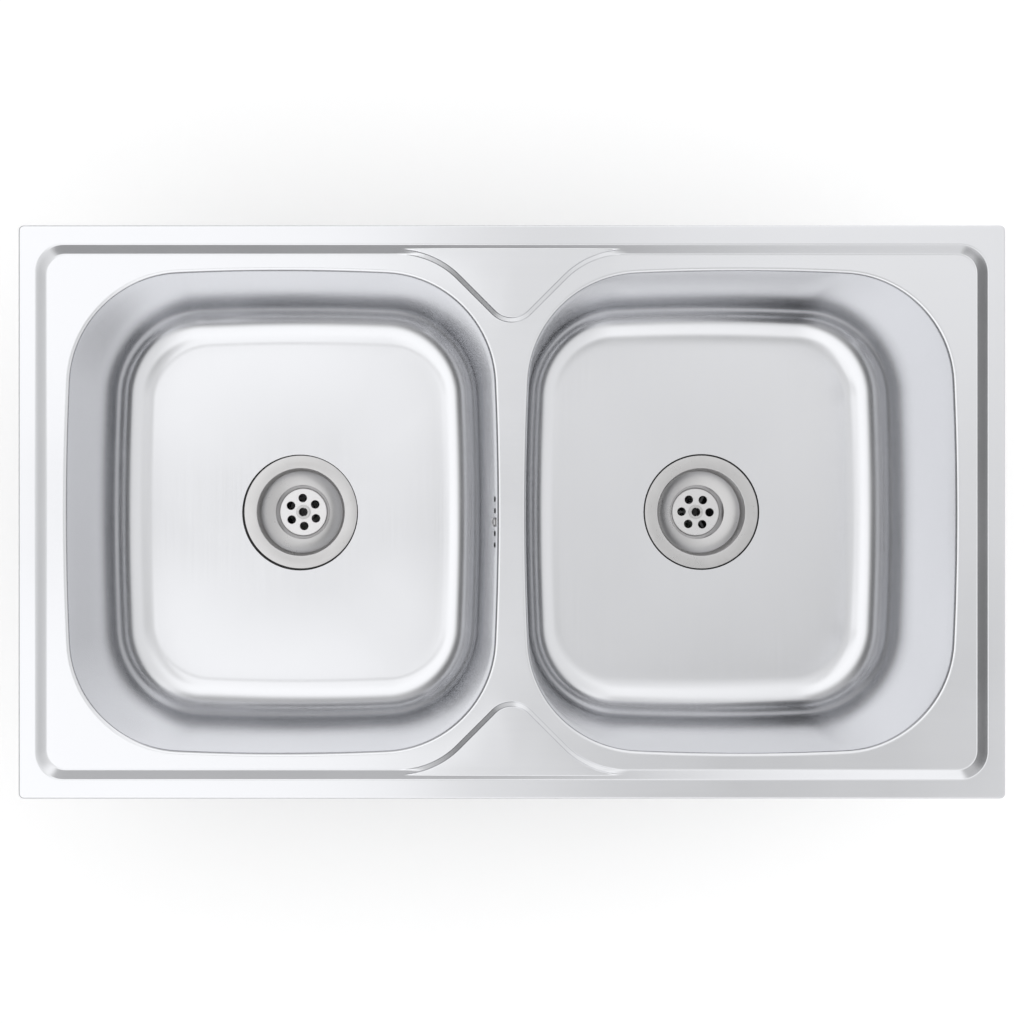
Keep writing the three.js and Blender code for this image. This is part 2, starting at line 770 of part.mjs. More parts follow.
// The hose's route: down from the housing, between the bowls, and under the left bowl's floor.
function hoseRoute() {
  const startLocal = new THREE.Vector3(spigotOffset, 0, -housingBelow - hoseStart);
  const down = new THREE.Vector3(0, 0, -1).transformDirection(overflowFrame.matrixWorld);
  const start = overflowFrame.localToWorld(startLocal);
  const inletZ = drainZ - inletDrop;
  const end = new THREE.Vector3(-wasteX + inletReach - hoseOverlap, 0, inletZ);
  const lead = spigotLength;
  const bendTop = inletZ + hoseBendRadius;
  const first = start.clone().addScaledVector(down, lead);
  const middle = new THREE.Vector3(first.x / 2, start.y, (first.z + bendTop) / 2);
  const half = hoseBendRadius * (1 - Math.SQRT1_2);
  return new THREE.CatmullRomCurve3([
    start,
    start.clone().addScaledVector(down, lead / 2),
    first,
    middle,
    new THREE.Vector3(0, start.y * 0.8, bendTop),
    new THREE.Vector3(-half, start.y * 0.5, inletZ + half),
    new THREE.Vector3(-hoseBendRadius, start.y * 0.2, inletZ),
    end.clone().add(new THREE.Vector3(lead + hoseRibRadius, 0, 0)),
    end.clone().add(new THREE.Vector3(lead / 2, 0, 0)),
    end,
  ], false, 'centripetal');
}

// A ribbed tube: each rib is two rings of points, and the bore has a ring at every second rib.
function ribbedHose(route) {
  const ribs = Math.round(route.getLength() / hoseRibPitch / 2) * 2;
  const steps = ribs * 2;
  const frames = route.computeFrenetFrames(steps, false);
  const ring = (step, radius) => {
    const centre = route.getPointAt(step / steps);
    return Array.from({ length: hoseSides }, (_, i) => {
      const angle = i * 2 * Math.PI / hoseSides;
      return centre.clone()
        .addScaledVector(frames.normals[step], radius * Math.cos(angle))
        .addScaledVector(frames.binormals[step], radius * Math.sin(angle));
    });
  };
  const outer = [];
  const bore = [];
  for (let step = 0; step <= steps; step += 1) {
    outer.push(ring(step, step % 2 ? hoseRibRadius : hoseGrooveRadius));
    if (step % 4 === 0) bore.push(ring(step, hoseBoreRadius));
  }
  return loft([...outer, ...bore.reverse()], true);
}

function hoseClip() {
  const inner = hoseRibRadius + fitGap;
  const outer = inner + hoseClipBand;
  const [along, across, high] = clipTunnel;
  const band = turnedRing(inner, outer, -hoseClipWidth / 2, hoseClipWidth / 2, 16);
  const worm = box(
    [outer - hoseClipBand / 2, outer + high],
    [-along / 2, along / 2],
    [-across / 2, across / 2],
  );
  return band.add(worm);
}

function addOverflow(parent) {
  parent.add(overflowFrame);
  piece(overflowFrame, 'overflow_seal', overflowSeal(), rubber);
  piece(overflowFrame, 'overflow_housing', overflowHousing(), plastic);
  piece(overflowFrame, 'overflow_screw', overflowScrew(), steel);
  piece(parent, 'overflow_hose', ribbedHose(hoseRoute()), plastic);

  const setback = hoseClipSetback + hoseClipWidth / 2;
  const upper = piece(overflowFrame, 'upper_hose_clip', hoseClip(), platedSteel);
  upper.position.set(spigotOffset, 0, -housingBelow - hoseStart - setback);
  upper.rotation.z = -Math.PI / 2;
  const lower = piece(parent, 'lower_hose_clip', hoseClip(), platedSteel);
  lower.position.set(-wasteX + inletReach - hoseOverlap + setback, 0, drainZ - inletDrop);
  lower.rotation.y = Math.PI / 2;
}

// ---------------------------------------------------------------- the worktop clips

const pivotZ = -pivotDrop;
const plateFace = -bracketFlange + bracketSheet;

function clipBracket(top) {
  const half = bracketWidth / 2;
  const ear = (y) => box([-bracketFlange, earReach - bracketFlange], [y, y + bracketSheet], [
    pivotZ - earBelow,
    pivotZ + earAbove,
  ]);
  const pinHalf = earSpacing / 2 + bracketSheet + pinProud;
  return union([
    box([-bracketFlange, 0], [-half, half], [top - bracketSheet, top]),
    box([-bracketFlange, plateFace], [-half, half], [pivotZ - earBelow, top]),
    ear(earSpacing / 2),
    ear(-earSpacing / 2 - bracketSheet),
    rod(pinRadius, -pinHalf, pinHalf, 'y').translate([-pivotInset, 0, pivotZ]),
  ]);
}

function clipJaw() {
  const armOuter = barrelRadius - pivotInset;
  const bossStart = -pivotInset - clampBossInner;
  const arm = box(
    [armOuter - armThickness, armOuter],
    [-armWidth / 2, armWidth / 2],
    [pivotZ - armLength, pivotZ],
  );
  const barrel = rod(barrelRadius, -barrelLength / 2, barrelLength / 2, 'y', 12);
  const boss = rod(clampBossRadius, bossStart, bossStart + clampBossLength, 'x', 12);
  const pinBore = rod(pinRadius + fitGap, -barrelLength, barrelLength, 'y');
  const screwBore = rod(clampScrewRadius + fitGap, -20, 20, 'x');
  return arm
    .add(barrel.translate([-pivotInset, 0, pivotZ]))
    .add(boss.translate([0, 0, pivotZ - clampArm]))
    .subtract(pinBore.translate([-pivotInset, 0, pivotZ]))
    .subtract(screwBore.translate([0, 0, pivotZ - clampArm]));
}

function clampScrew() {
  const headFace = -pivotInset - clampBossInner - clampTravel - fitGap;
  const z = pivotZ - clampArm;
  return rod(clampScrewRadius, headFace - 1, headFace + clampScrewLength, 'x')
    .add(rod(clampHeadRadius, headFace - clampHeadHeight, headFace, 'x', 6))
    .translate([0, 0, z]);
}

// Each clip's name, place along its side, and the way out of the sink in quarter turns from +X.
const clipPlaces = [
  ['front_left', -clipEndX, 3, deckUnder],
  ['front_centre', 0, 3, panelUnder],
  ['front_right', clipEndX, 3, deckUnder],
  ['back_left', -clipEndX, 1, deckUnder],
  ['back_centre', 0, 1, panelUnder],
  ['back_right', clipEndX, 1, deckUnder],
  ['left_side', 0, 2, deckUnder],
  ['right_side', 0, 0, deckUnder],
];

function addClip(parent, [name, along, quarters, top]) {
  const clip = new THREE.Group();
  const reachX = (stepFootX - clipSetback) * [1, 0, -1, 0][quarters];
  const reachY = (stepFootY - clipSetback) * [0, 1, 0, -1][quarters];
  clip.position.set(reachX + (quarters % 2 ? along : 0), reachY + (quarters % 2 ? 0 : along), 0);
  clip.rotation.z = quarters * Math.PI / 2;
  parent.add(clip);
  piece(clip, `${name}_clip_bracket`, clipBracket(top), steel);
  piece(clip, `${name}_clip_jaw`, clipJaw(), platedSteel);
  piece(clip, `${name}_clip_screw`, clampScrew(), platedSteel);
}

// ---------------------------------------------------------------- the sink

const sink = new THREE.Group();
piece(sink, 'deck_plate', topSheet(), steel);
piece(sink, 'rim_seal', rimSeal(), foam);
const bowl = bowlShell();
piece(sink, 'left_bowl', bowl.translate([-bowlX, 0, 0]).subtract(overflowCut()), steel);
piece(sink, 'right_bowl', bowl.rotate([0, 0, 180]).translate([bowlX, 0, 0]), steel);
piece(sink, 'left_sound_pad', soundPad().translate([-bowlX, 0, 0]), bitumen);
piece(sink, 'right_sound_pad', soundPad().rotate([0, 0, 180]).translate([bowlX, 0, 0]), bitumen);
addWaste(sink, 'left', -wasteX, leftPlateTurn);
addWaste(sink, 'right', wasteX, rightPlateTurn);
addOverflow(sink);
clipPlaces.forEach((place) => addClip(sink, place));

export default sink;
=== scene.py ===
"""Double bowl kitchen sink: its fine surfaces, its finishes, a light tent and the camera.

Everything is in metres in the sink's own frame: +X along the sink, +Y to its back, +Z up, and
z = 0 on the worktop. Outlines are worked out in the plane of the deck, and a profile's points are
(inset, z) or (radius, z) pairs.

SHEET is the steel's thickness, FIT_GAP the gap between pieces that fit, and SEAM_GAP the one where
two sheets meet. SHADE_MARK names the mark of points with painted shade, darker by
SHADE_MARK_STRENGTH. A corner whose half angle is past STRAIGHT isn't rounded, and an arc takes at
most SHORT_SHARE of a side.
Cutters are CUT thick or reach PAST a face, and CUT_EDGE and BORE_EDGE are their eased edges. The
TURN counts are points round a circle. Edges that turn by more than CREASE degrees stay sharp, and
on threads it is THREAD_CREASE. Points of a plan nearer than MERGE, in millimetres, become one.
"""
import json
import logging
import math
from collections.abc import Callable, Sequence
from dataclasses import dataclass, field
from enum import Enum

import bmesh
import bpy
import numpy as np
from mathutils import Matrix, Vector
from mathutils.geometry import delaunay_2d_cdt


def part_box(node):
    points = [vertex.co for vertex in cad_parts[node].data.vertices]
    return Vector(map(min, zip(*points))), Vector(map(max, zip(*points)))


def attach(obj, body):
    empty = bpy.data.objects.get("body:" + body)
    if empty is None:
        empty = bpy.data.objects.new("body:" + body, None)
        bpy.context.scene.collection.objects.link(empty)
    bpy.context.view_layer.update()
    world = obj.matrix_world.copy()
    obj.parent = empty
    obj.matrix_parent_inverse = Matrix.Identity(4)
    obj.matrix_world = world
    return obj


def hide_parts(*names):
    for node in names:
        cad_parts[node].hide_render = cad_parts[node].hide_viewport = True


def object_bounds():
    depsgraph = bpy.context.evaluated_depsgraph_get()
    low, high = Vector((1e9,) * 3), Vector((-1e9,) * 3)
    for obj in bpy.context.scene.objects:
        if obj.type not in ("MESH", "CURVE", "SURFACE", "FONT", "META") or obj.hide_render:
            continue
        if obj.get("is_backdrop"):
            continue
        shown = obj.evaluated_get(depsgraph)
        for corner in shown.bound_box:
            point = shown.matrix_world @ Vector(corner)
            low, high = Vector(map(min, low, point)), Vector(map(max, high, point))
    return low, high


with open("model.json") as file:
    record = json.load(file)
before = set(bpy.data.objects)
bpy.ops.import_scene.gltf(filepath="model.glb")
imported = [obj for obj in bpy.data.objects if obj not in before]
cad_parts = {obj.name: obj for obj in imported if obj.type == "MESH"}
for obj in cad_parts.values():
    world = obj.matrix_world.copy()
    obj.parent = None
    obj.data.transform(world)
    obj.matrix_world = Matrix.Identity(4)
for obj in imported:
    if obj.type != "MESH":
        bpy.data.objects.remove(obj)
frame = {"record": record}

LOG = logging.getLogger("sink")
MM = 0.001
SHEET = 0.8 * MM
FIT_GAP = 0.3 * MM
SEAM_GAP = 0.02 * MM
# Painted shade: the name of the mark of points shown nearly black, and how much darker they are.
SHADE_MARK = "mark_painted_shade"
SHADE_MARK_STRENGTH = 0.95
CREASE = 35
THREAD_CREASE = 50
MERGE = 1e-4
STRAIGHT = math.radians(89.5)
SHORT_SHARE = 0.48
CUT = 4 * MM
PAST = 1 * MM
CUT_EDGE = 0.05 * MM
BORE_EDGE = 0.1 * MM
FINE_TURN = 96
ROUND_TURN = 64
MEDIUM_TURN = 48
SMALL_TURN = 32
PIN_TURN = 24
TOOTH_TURN = 12

Point = tuple[float, float]
Loop = np.ndarray
Piece = bpy.types.Object
Socket = bpy.types.NodeSocket


# ---------------------------------------------------------------- paths and loops


def arc(centre: Point, radius: float, start: float, end: float, steps: int) -> list[Point]:
    """Points along an arc.

    Args:
        centre: the arc's centre.
        radius: its radius.
        start: angle of the first point, in radians.
        end: angle of the last point.
        steps: how many equal steps lie between them.

    Returns:
        steps + 1 points, both ends included.
    """
    turns = np.linspace(start, end, steps + 1)
    return [(centre[0] + radius * math.cos(t), centre[1] + radius * math.sin(t)) for t in turns]


def rectangle(left: float, low: float, right: float, high: float) -> list[Point]:
    """The corners of an upright rectangle, counter-clockwise from its lower left."""
    return [(left, low), (right, low), (right, high), (left, high)]


def centred(size: Point) -> list[Point]:
    """The corners of a rectangle about the origin."""
    return rectangle(-size[0] / 2, -size[1] / 2, size[0] / 2, size[1] / 2)


def rounded(
    corners: Sequence[Point], radius: float, steps: int = 4, closed: bool = True
) -> list[Point]:
    """A polyline with its corners turned into arcs.

    Args:
        corners: the corner points, in order.
        radius: the arcs' radius, which a short side makes smaller.
        steps: steps along each arc.
        closed: True if the last corner joins the first.

    Returns:
        The points of the rounded line.
    """
    points = [np.array(c, float) for c in corners]
    count = len(points)
    line: list[Point] = []
    for i, corner in enumerate(points):
        if not closed and i in (0, count - 1):
            line.append(tuple(corner))
            continue
        before = points[i - 1] - corner
        after = points[(i + 1) % count] - corner
        before_length, after_length = np.linalg.norm(before), np.linalg.norm(after)
        before, after = before / before_length, after / after_length
        half = math.acos(float(np.clip(before @ after, -1, 1))) / 2
        if half > STRAIGHT:
            line.append(tuple(corner))
            continue
        run = min(radius / math.tan(half), SHORT_SHARE * before_length, SHORT_SHARE * after_length)
        middle = (before + after) / np.linalg.norm(before + after)
        centre = corner + middle * run / math.cos(half)
        reach = run * math.tan(half)
        first = math.atan2(*(corner + before * run - centre)[::-1])
        last = math.atan2(*(corner + after * run - centre)[::-1])
        sweep = (last - first + math.pi) % (2 * math.pi) - math.pi
        line.extend(arc(tuple(centre), reach, first, first + sweep, steps))
    return line


def rounded_rectangle(half_x: float, half_y: float, radius: float, corner: int, side: int) -> Loop:
    """The outline of a rectangle with round corners, counter-clockwise.

    Args:
        half_x: half its length.
        half_y: half its width.
        radius: its corners' radius.
        corner: steps along each corner.
        side: steps along each straight side.

    Returns:
        An array of points, as many for any size at the same steps.
    """
    loop: list[Point] = []
    signs = ((1, 1), (-1, 1), (-1, -1), (1, -1))
    for quarter, (sx, sy) in enumerate(signs):
        centre = (sx * (half_x - radius), sy * (half_y - radius))
        start = quarter * math.pi / 2
        turn = arc(centre, radius, start, start + math.pi / 2, corner)
        nx, ny = signs[(quarter + 1) % 4]
        quarter_end = start + math.pi / 2
        following = (
            nx * (half_x - radius) + radius * math.cos(quarter_end),
            ny * (half_y - radius) + radius * math.sin(quarter_end),
        )
        loop.extend(turn)
        loop.extend(
            tuple(np.array(turn[-1]) + (np.array(following) - turn[-1]) * k / side)
            for k in range(1, side)
        )
    return np.array(loop)


def circle(radius: float, count: int) -> Loop:
    """A circle round the origin, counter-clockwise, with count points."""
    turns = np.arange(count) * 2 * math.pi / count
    return np.stack([radius * np.cos(turns), radius * np.sin(turns)], 1)


def at_level(loop: Loop, z: float) -> np.ndarray:
    """A plane loop lifted to a height, as an array of 3-D points."""
    return np.column_stack([loop, np.full(len(loop), z)])


def parallel(path: Sequence[Point], distance: float) -> list[Point]:
    """The other face of a bent sheet.

    Args:
        path: the points of one face.
        distance: how far to the right of the path the other face lies.

    Returns:
        As many points, each moved square to the path.
    """
    points = np.array(path, float)
    moved = []
    for i, point in enumerate(points):
        into = point - points[i - 1] if i else points[1] - point
        out = points[i + 1] - point if i + 1 < len(points) else into
        into, out = into / np.linalg.norm(into), out / np.linalg.norm(out)
        square = np.array([into[1] + out[1], -into[0] - out[0]])
        square /= np.linalg.norm(square)
        stretch = square @ np.array([into[1], -into[0]])
        moved.append(tuple(point + square * distance / stretch))
    return moved


@dataclass(frozen=True)
class BowlOutline:
    """A bowl's rim seen from above: bowed sides and ends with round corners between them.

    Sizes are those of the rim itself, and every loop is parallel to it.
    """

    half_x: float
    half_y: float
    corner: float = 99 * MM
    side_bow: float = 2500 * MM
    end_bow: float = 2000 * MM
    side_steps: int = 8
    corner_steps: int = 24

    def loop(self, inset: float) -> Loop:
        """The outline moved inwards.

        Args:
            inset: how far in from the rim, or out where it is negative.

        Returns:
            The loop round the bowl's centre, counter-clockwise from the middle of its right side.
        """
        half_x, half_y = self.half_x - inset, self.half_y - inset
        side, end, corner = self.side_bow - inset, self.end_bow - inset, self.corner - inset
        side_centre = np.array([half_x - side, 0.0])
        end_centre = np.array([0.0, half_y - end])
        between = end_centre - side_centre
        span = float(np.linalg.norm(between))
        along = ((side - corner) ** 2 - (end - corner) ** 2 + span**2) / (2 * span)
        across = math.sqrt((side - corner) ** 2 - along**2)
        between /= span
        centre = side_centre + between * along + np.array([-between[1], between[0]]) * across
        first = math.atan2(*(centre - side_centre)[::-1])
        second = math.atan2(*(centre - end_centre)[::-1])
        quarter = arc(tuple(side_centre), side, 0, first, self.side_steps)
        quarter += arc(tuple(centre), corner, first, second, self.corner_steps)[1:]
        quarter += arc(tuple(end_centre), end, second, math.pi / 2, self.side_steps)[1:]
        right_back = np.array(quarter)
        left_back = right_back[::-1][1:] * (-1, 1)
        left_front = right_back[1:] * (-1, -1)
        right_front = right_back[::-1][1:-1] * (1, -1)
        return np.concatenate([right_back, left_back, left_front, right_front])


# ---------------------------------------------------------------- meshes


def mesh_object(
    name: str, points: np.ndarray, faces: Sequence[Sequence[int]], crease: float = CREASE
) -> Piece:
    """A new object with outward faces, shaded smooth apart from its creases.

    Args:
        name: the piece's name.
        points: its vertices.
        faces: its faces, as vertex numbers.
        crease: edges that turn by more than this many degrees stay sharp.

    Returns:
        The object, in the scene.
    """
    mesh = bpy.data.meshes.new(name)
    mesh.from_pydata([tuple(p) for p in points], [], [tuple(f) for f in faces])
    tidy(mesh)
    shade(mesh, crease)
    made = bpy.data.objects.new(name, mesh)
    bpy.context.scene.collection.objects.link(made)
    return made


def tidy(mesh: bpy.types.Mesh) -> None:
    """Drops loose points and turns every face outwards.

    Args:
        mesh: the mesh to clean.
    """
    work = bmesh.new()
    work.from_mesh(mesh)
    loose = [v for v in work.verts if not v.link_faces]
    bmesh.ops.delete(work, geom=loose, context="VERTS")
    bmesh.ops.recalc_face_normals(work, faces=work.faces)
    work.to_mesh(mesh)
    work.free()


def shade(mesh: bpy.types.Mesh, crease: float) -> None:
    """Shades a mesh smooth, with edges sharper than crease degrees kept sharp."""
    mesh.polygons.foreach_set("use_smooth", [True] * len(mesh.polygons))
    mesh.set_sharp_from_angle(angle=math.radians(crease))


def skin(rings: Sequence[np.ndarray], closed: bool) -> tuple[np.ndarray, list[list[int]]]:
    """Faces through rings of points of equal counts.

    Args:
        rings: the rings, in order.
        closed: True if the last ring joins the first, and False for flat caps at both ends.

    Returns:
        The points and the faces.
    """
    count = len(rings[0])
    faces: list[list[int]] = []
    for k in range(len(rings) if closed else len(rings) - 1):
        low, high = k * count, (k + 1) % len(rings) * count
        for i in range(count):
            j = (i + 1) % count
            faces.append([low + i, low + j, high + j, high + i])
    if not closed:
        faces.append(list(range(count)))
        faces.append([(len(rings) - 1) * count + i for i in range(count)])
    return np.concatenate(rings), faces


def turned(
    name: str, outline: Sequence[Point], count: int = FINE_TURN, crease: float = CREASE
) -> Piece:
    """A piece turned about Z.

    Args:
        name: the piece's name.
        outline: its closed section as (radius, z) points, clear of the axis.
        count: points round the axis.
        crease: edges that turn by more than this many degrees stay sharp.

    Returns:
        The object, at the origin.
    """
    points, faces = skin([at_level(circle(r, count), z) for r, z in outline], closed=True)
    return mesh_object(name, points, faces, crease)


def rod(
    name: str, radius: float, start: float, end: float, edge: float, count: int = SMALL_TURN
) -> Piece:
    """A round bar along Z with eased ends.

    Args:
        name: the piece's name.
        radius: its radius.
        start: its lower end.
        end: its upper end.
        edge: the radius of its eased edges.
        count: points round it.

    Returns:
        The object.
    """
    low = arc((radius - edge, start + edge), edge, -math.pi / 2, 0, 3)
    high = arc((radius - edge, end - edge), edge, 0, math.pi / 2, 3)
    points, faces = skin([at_level(circle(r, count), z) for r, z in low + high], closed=False)
    return mesh_object(name, points, faces)


def plate(name: str, outline: Sequence[Point], thickness: float, edge: float) -> Piece:
    """A flat plate in the XY plane with eased edges, from z = 0 up.

    Args:
        name: the piece's name.
        outline: its outline, which bulges everywhere or has gentle hollows.
        thickness: its thickness.
        edge: how far its edges are eased.

    Returns:
        The object.
    """
    loop = np.array(outline)
    closed_line = [tuple(loop[-1]), *map(tuple, loop), tuple(loop[0])]
    area = np.sum(loop[:, 0] * np.roll(loop[:, 1], -1) - loop[:, 1] * np.roll(loop[:, 0], -1))
    drawn_in = np.array(parallel(closed_line, -edge if area > 0 else edge)[1:-1])
    rings = [
        at_level(drawn_in, 0),
        at_level(loop, edge),
        at_level(loop, thickness - edge),
        at_level(drawn_in, thickness),
    ]
    points, faces = skin(rings, closed=False)
    return mesh_object(name, points, faces)


def mark_painted_shade(made: Piece, where: Callable[[Vector], bool]) -> Piece:
    """Marks the points of a metal piece that get painted shade, which its finish then shows nearly
    black.

    Args:
        made: the piece.
        where: tells of a point whether it gets painted shade.

    Returns:
        The piece.
    """
    marks = made.data.attributes.new(SHADE_MARK, "FLOAT", "POINT")
    marks.data.foreach_set("value", [float(where(v.co)) for v in made.data.vertices])
    return made


def moved(made: Piece, matrix: Matrix) -> Piece:
    """Moves a piece's mesh itself, so that its object stays at the origin."""
    made.data.transform(matrix)
    return made


def shift(x: float = 0, y: float = 0, z: float = 0) -> Matrix:
    """A move by x, y and z."""
    return Matrix.Translation((x, y, z))


def turn(degrees: float, axis: str) -> Matrix:
    """A turn about an axis through the origin."""
    return Matrix.Rotation(math.radians(degrees), 4, axis)


def combine(
    base: Piece, tools: Sequence[Piece], operation: str, crease: float = CREASE
) -> Piece:
    """Joins pieces to a base, or cuts them out of it, and removes them.

    Args:
        base: the piece that is kept.
        tools: the pieces that join or cut it.
        operation: UNION or DIFFERENCE.
        crease: edges that turn by more than this many degrees stay sharp.

    Returns:
        The base, with its new mesh.
    """
    for tool in tools:
        modifier = base.modifiers.new("combine", "BOOLEAN")
        modifier.operation = operation
        modifier.solver = "EXACT"
        modifier.object = tool
        graph = bpy.context.evaluated_depsgraph_get()
        result = bpy.data.meshes.new_from_object(base.evaluated_get(graph))
        base.modifiers.remove(modifier)
        base.data = result
        bpy.data.objects.remove(tool)
    shade(base.data, crease)
    return base


@dataclass
class PlanSheet:
    """A sheet drawn in plan: its outline, its holes and the lines along which it bends."""

    outline: Loop
    holes: list[Loop] = field(default_factory=list)
    lines: list[Loop] = field(default_factory=list)

    def triangles(self) -> tuple[np.ndarray, np.ndarray, list[np.ndarray]]:
        """Fills the plan with triangles that follow every line.

        Returns:
            The plane points, the triangles, and the point numbers of the outline and each hole.
        """
        points: list[Vector] = []
        edges: list[tuple[int, int]] = []
        bounds: list[range] = []
        for loop in [self.outline, *self.holes]:
            start = len(points)
            points.extend(Vector(p / MM) for p in loop)
            edges.extend((start + i, start + (i + 1) % len(loop)) for i in range(len(loop)))
            bounds.append(range(start, len(points)))
        for line in self.lines:
            start = len(points)
            points.extend(Vector(p / MM) for p in line)
            edges.extend((start + i, start + i + 1) for i in range(len(line) - 1))
        plan, _, faces, origins, _, _ = delaunay_2d_cdt(points, edges, [], 0, MERGE)
        place = {source: new for new, sources in enumerate(origins) for source in sources}
        flat = np.array([tuple(p) for p in plan]) * MM
        triangles = np.array([f for f in faces if len(f) == 3])
        middles = flat[triangles].mean(1)
        keep = inside(middles, self.outline)
        for hole in self.holes:
            keep &= ~inside(middles, hole)
        borders = [np.array([place[i] for i in bound]) for bound in bounds]
        return flat, triangles[keep], borders


def sheet_faces(
    triangles: np.ndarray, borders: Sequence[np.ndarray], count: int
) -> list[list[int]]:
    """The faces of a sheet whose lower points follow its upper ones.

    Args:
        triangles: the upper face's triangles.
        borders: the loops of upper points that walls hang from.
        count: how many points the upper face has.

    Returns:
        The faces: upper, lower, then the walls.
    """
    faces = [list(t) for t in triangles]
    faces += [[a + count, c + count, b + count] for a, b, c in triangles]
    for border in borders:
        for a, b in zip(border, np.roll(border, -1), strict=True):
            faces.append([a, b, b + count, a + count])
    return faces


def inside(points: np.ndarray, loop: Loop) -> np.ndarray:
    """Which of the plane points lie inside a loop, as an array of truths.

    Args:
        points: plane points, as an array of (x, y) rows.
        loop: the loop's corners in order.

    Returns:
        One truth for each point.
    """
    result = np.zeros(len(points), bool)
    for (x0, y0), (x1, y1) in zip(loop, np.roll(loop, -1, 0), strict=True):
        if y0 == y1:
            continue
        crosses = (y0 > points[:, 1]) != (y1 > points[:, 1])
        result ^= crosses & (points[:, 0] < (x1 - x0) * (points[:, 1] - y0) / (y1 - y0) + x0)
    return result


def slope_normals(height: Callable[[np.ndarray], np.ndarray], flat: np.ndarray) -> np.ndarray:
    """The upward normals of a height over the plan, at the given plane points.

    Args:
        height: gives the height over an array of plane points.
        flat: plane points, as an array of (x, y) rows.

    Returns:
        One unit normal for each point.
    """
    step = 0.01 * MM
    dx = (height(flat + (step, 0)) - height(flat - (step, 0))) / (2 * step)
    dy = (height(flat + (0, step)) - height(flat - (0, step))) / (2 * step)
    normals = np.column_stack([-dx, -dy, np.ones(len(flat))])
    return normals / np.linalg.norm(normals, axis=1, keepdims=True)


def set_normals(mesh: bpy.types.Mesh, normals: np.ndarray, faces: int) -> None:
    """Sets the shading of a mesh's first faces from its points' own normals.

    Args:
        mesh: the mesh.
        normals: a normal for each of its first points.
        faces: how many faces take them. The rest keep the shading that they have.
    """
    corners = np.zeros(len(mesh.loops), np.int32)
    mesh.loops.foreach_get("vertex_index", corners)
    split = np.zeros((len(mesh.loops), 3))
    taken = sum(mesh.polygons[i].loop_total for i in range(faces))
    split[:taken] = normals[corners[:taken]]
    mesh.normals_split_custom_set([tuple(n) for n in split])


# ---------------------------------------------------------------- node groups


class Tree:
    """A short way to add nodes and links to a node tree."""

    def __init__(self, tree: bpy.types.NodeTree) -> None:
        """Wraps a tree."""
        self.tree = tree

    def node(
        self, kind: str, values: dict[str, object] | None = None, **options: object
    ) -> bpy.types.Node:
        """Adds a node.

        Args:
            kind: its type, such as ShaderNodeMath.
            values: what goes into its inputs, by name or number: a value, or another socket.
            **options: its own properties.

        Returns:
            The node.
        """
        made = self.tree.nodes.new(kind)
        for key, value in options.items():
            setattr(made, key, value)
        for key, value in (values or {}).items():
            socket = made.inputs[int(key) if key.isdigit() else key]
            if isinstance(value, Socket):
                self.tree.links.new(value, socket)
            else:
                socket.default_value = value
        return made

    def math(
        self, operation: str, first: object, second: object = 0.0, clamp: bool = False
    ) -> Socket:
        """The result of a Math node on two values or sockets."""
        values = {"0": first, "1": second}
        return self.node("ShaderNodeMath", values, operation=operation, use_clamp=clamp).outputs[0]

    def plus(self, first: object, second: object, clamp: bool = False) -> Socket:
        """The sum of two values or sockets."""
        return self.math("ADD", first, second, clamp)

    def minus(self, first: object, second: object) -> Socket:
        """The difference of two values or sockets."""
        return self.math("SUBTRACT", first, second)

    def times(self, first: object, second: object) -> Socket:
        """The product of two values or sockets."""
        return self.math("MULTIPLY", first, second)

    def ramp(self, value: object, start: object, end: object, low: object, high: object) -> Socket:
        """A smooth step.

        Args:
            value: what it follows.
            start: the value at which it starts to change.
            end: the value at which it has changed.
            low: its result up to start.
            high: its result from end on.

        Returns:
            The result.
        """
        values = {"Value": value, "From Min": start, "From Max": end, "To Min": low, "To Max": high}
        return self.node("ShaderNodeMapRange", values, interpolation_type="SMOOTHSTEP").outputs[0]

    def place(self) -> Socket:
        """Where the shaded point lies, in its piece's own frame."""
        return self.node("ShaderNodeTexCoord").outputs["Object"]

    def noise(
        self, vector: Socket, scale: object, detail: float, distortion: float = 0.0
    ) -> Socket:
        """A soft noise from 0 to 1 over the places in vector."""
        values = {"Vector": vector, "Scale": scale, "Detail": detail, "Distortion": distortion}
        return self.node("ShaderNodeTexNoise", values).outputs["Fac"]

    def tint(self, colour: tuple[float, float, float], level: Socket) -> Socket:
        """A colour made brighter or darker by a level."""
        values = {"0": colour, "Scale": level}
        return self.node("ShaderNodeVectorMath", values, operation="SCALE").outputs[0]

    def seen(self) -> Socket:
        """1 for what the camera sees straight, mirrored or through something, and else 0.

        Returns:
            The socket that carries the level.
        """
        rays = self.node("ShaderNodeLightPath").outputs
        straight = self.plus(rays["Is Camera Ray"], rays["Is Glossy Ray"])
        return self.plus(straight, rays["Is Transmission Ray"], clamp=True)

    def link(self, source: Socket, target: Socket) -> None:
        """Joins two sockets."""
        self.tree.links.new(source, target)


def new_group(
    name: str, inputs: dict[str, tuple[str, object]], outputs: Sequence[str]
) -> tuple[Tree, bpy.types.Node, bpy.types.Node]:
    """An empty node group with named sockets.

    Args:
        name: the group's name.
        inputs: each input's socket kind, such as Float, and its default.
        outputs: the names of its outputs, which are all values.

    Returns:
        The group's tree, its input node and its output node.
    """
    group = bpy.data.node_groups.new(name, "ShaderNodeTree")
    add_socket = group.interface.new_socket
    for label, (kind, default) in inputs.items():
        socket = add_socket(name=label, in_out="INPUT", socket_type=f"NodeSocket{kind}")
        socket.default_value = default
    for label in outputs:
        add_socket(name=label, in_out="OUTPUT", socket_type="NodeSocketFloat")
    tree = Tree(group)
    return tree, tree.node("NodeGroupInput"), tree.node("NodeGroupOutput")


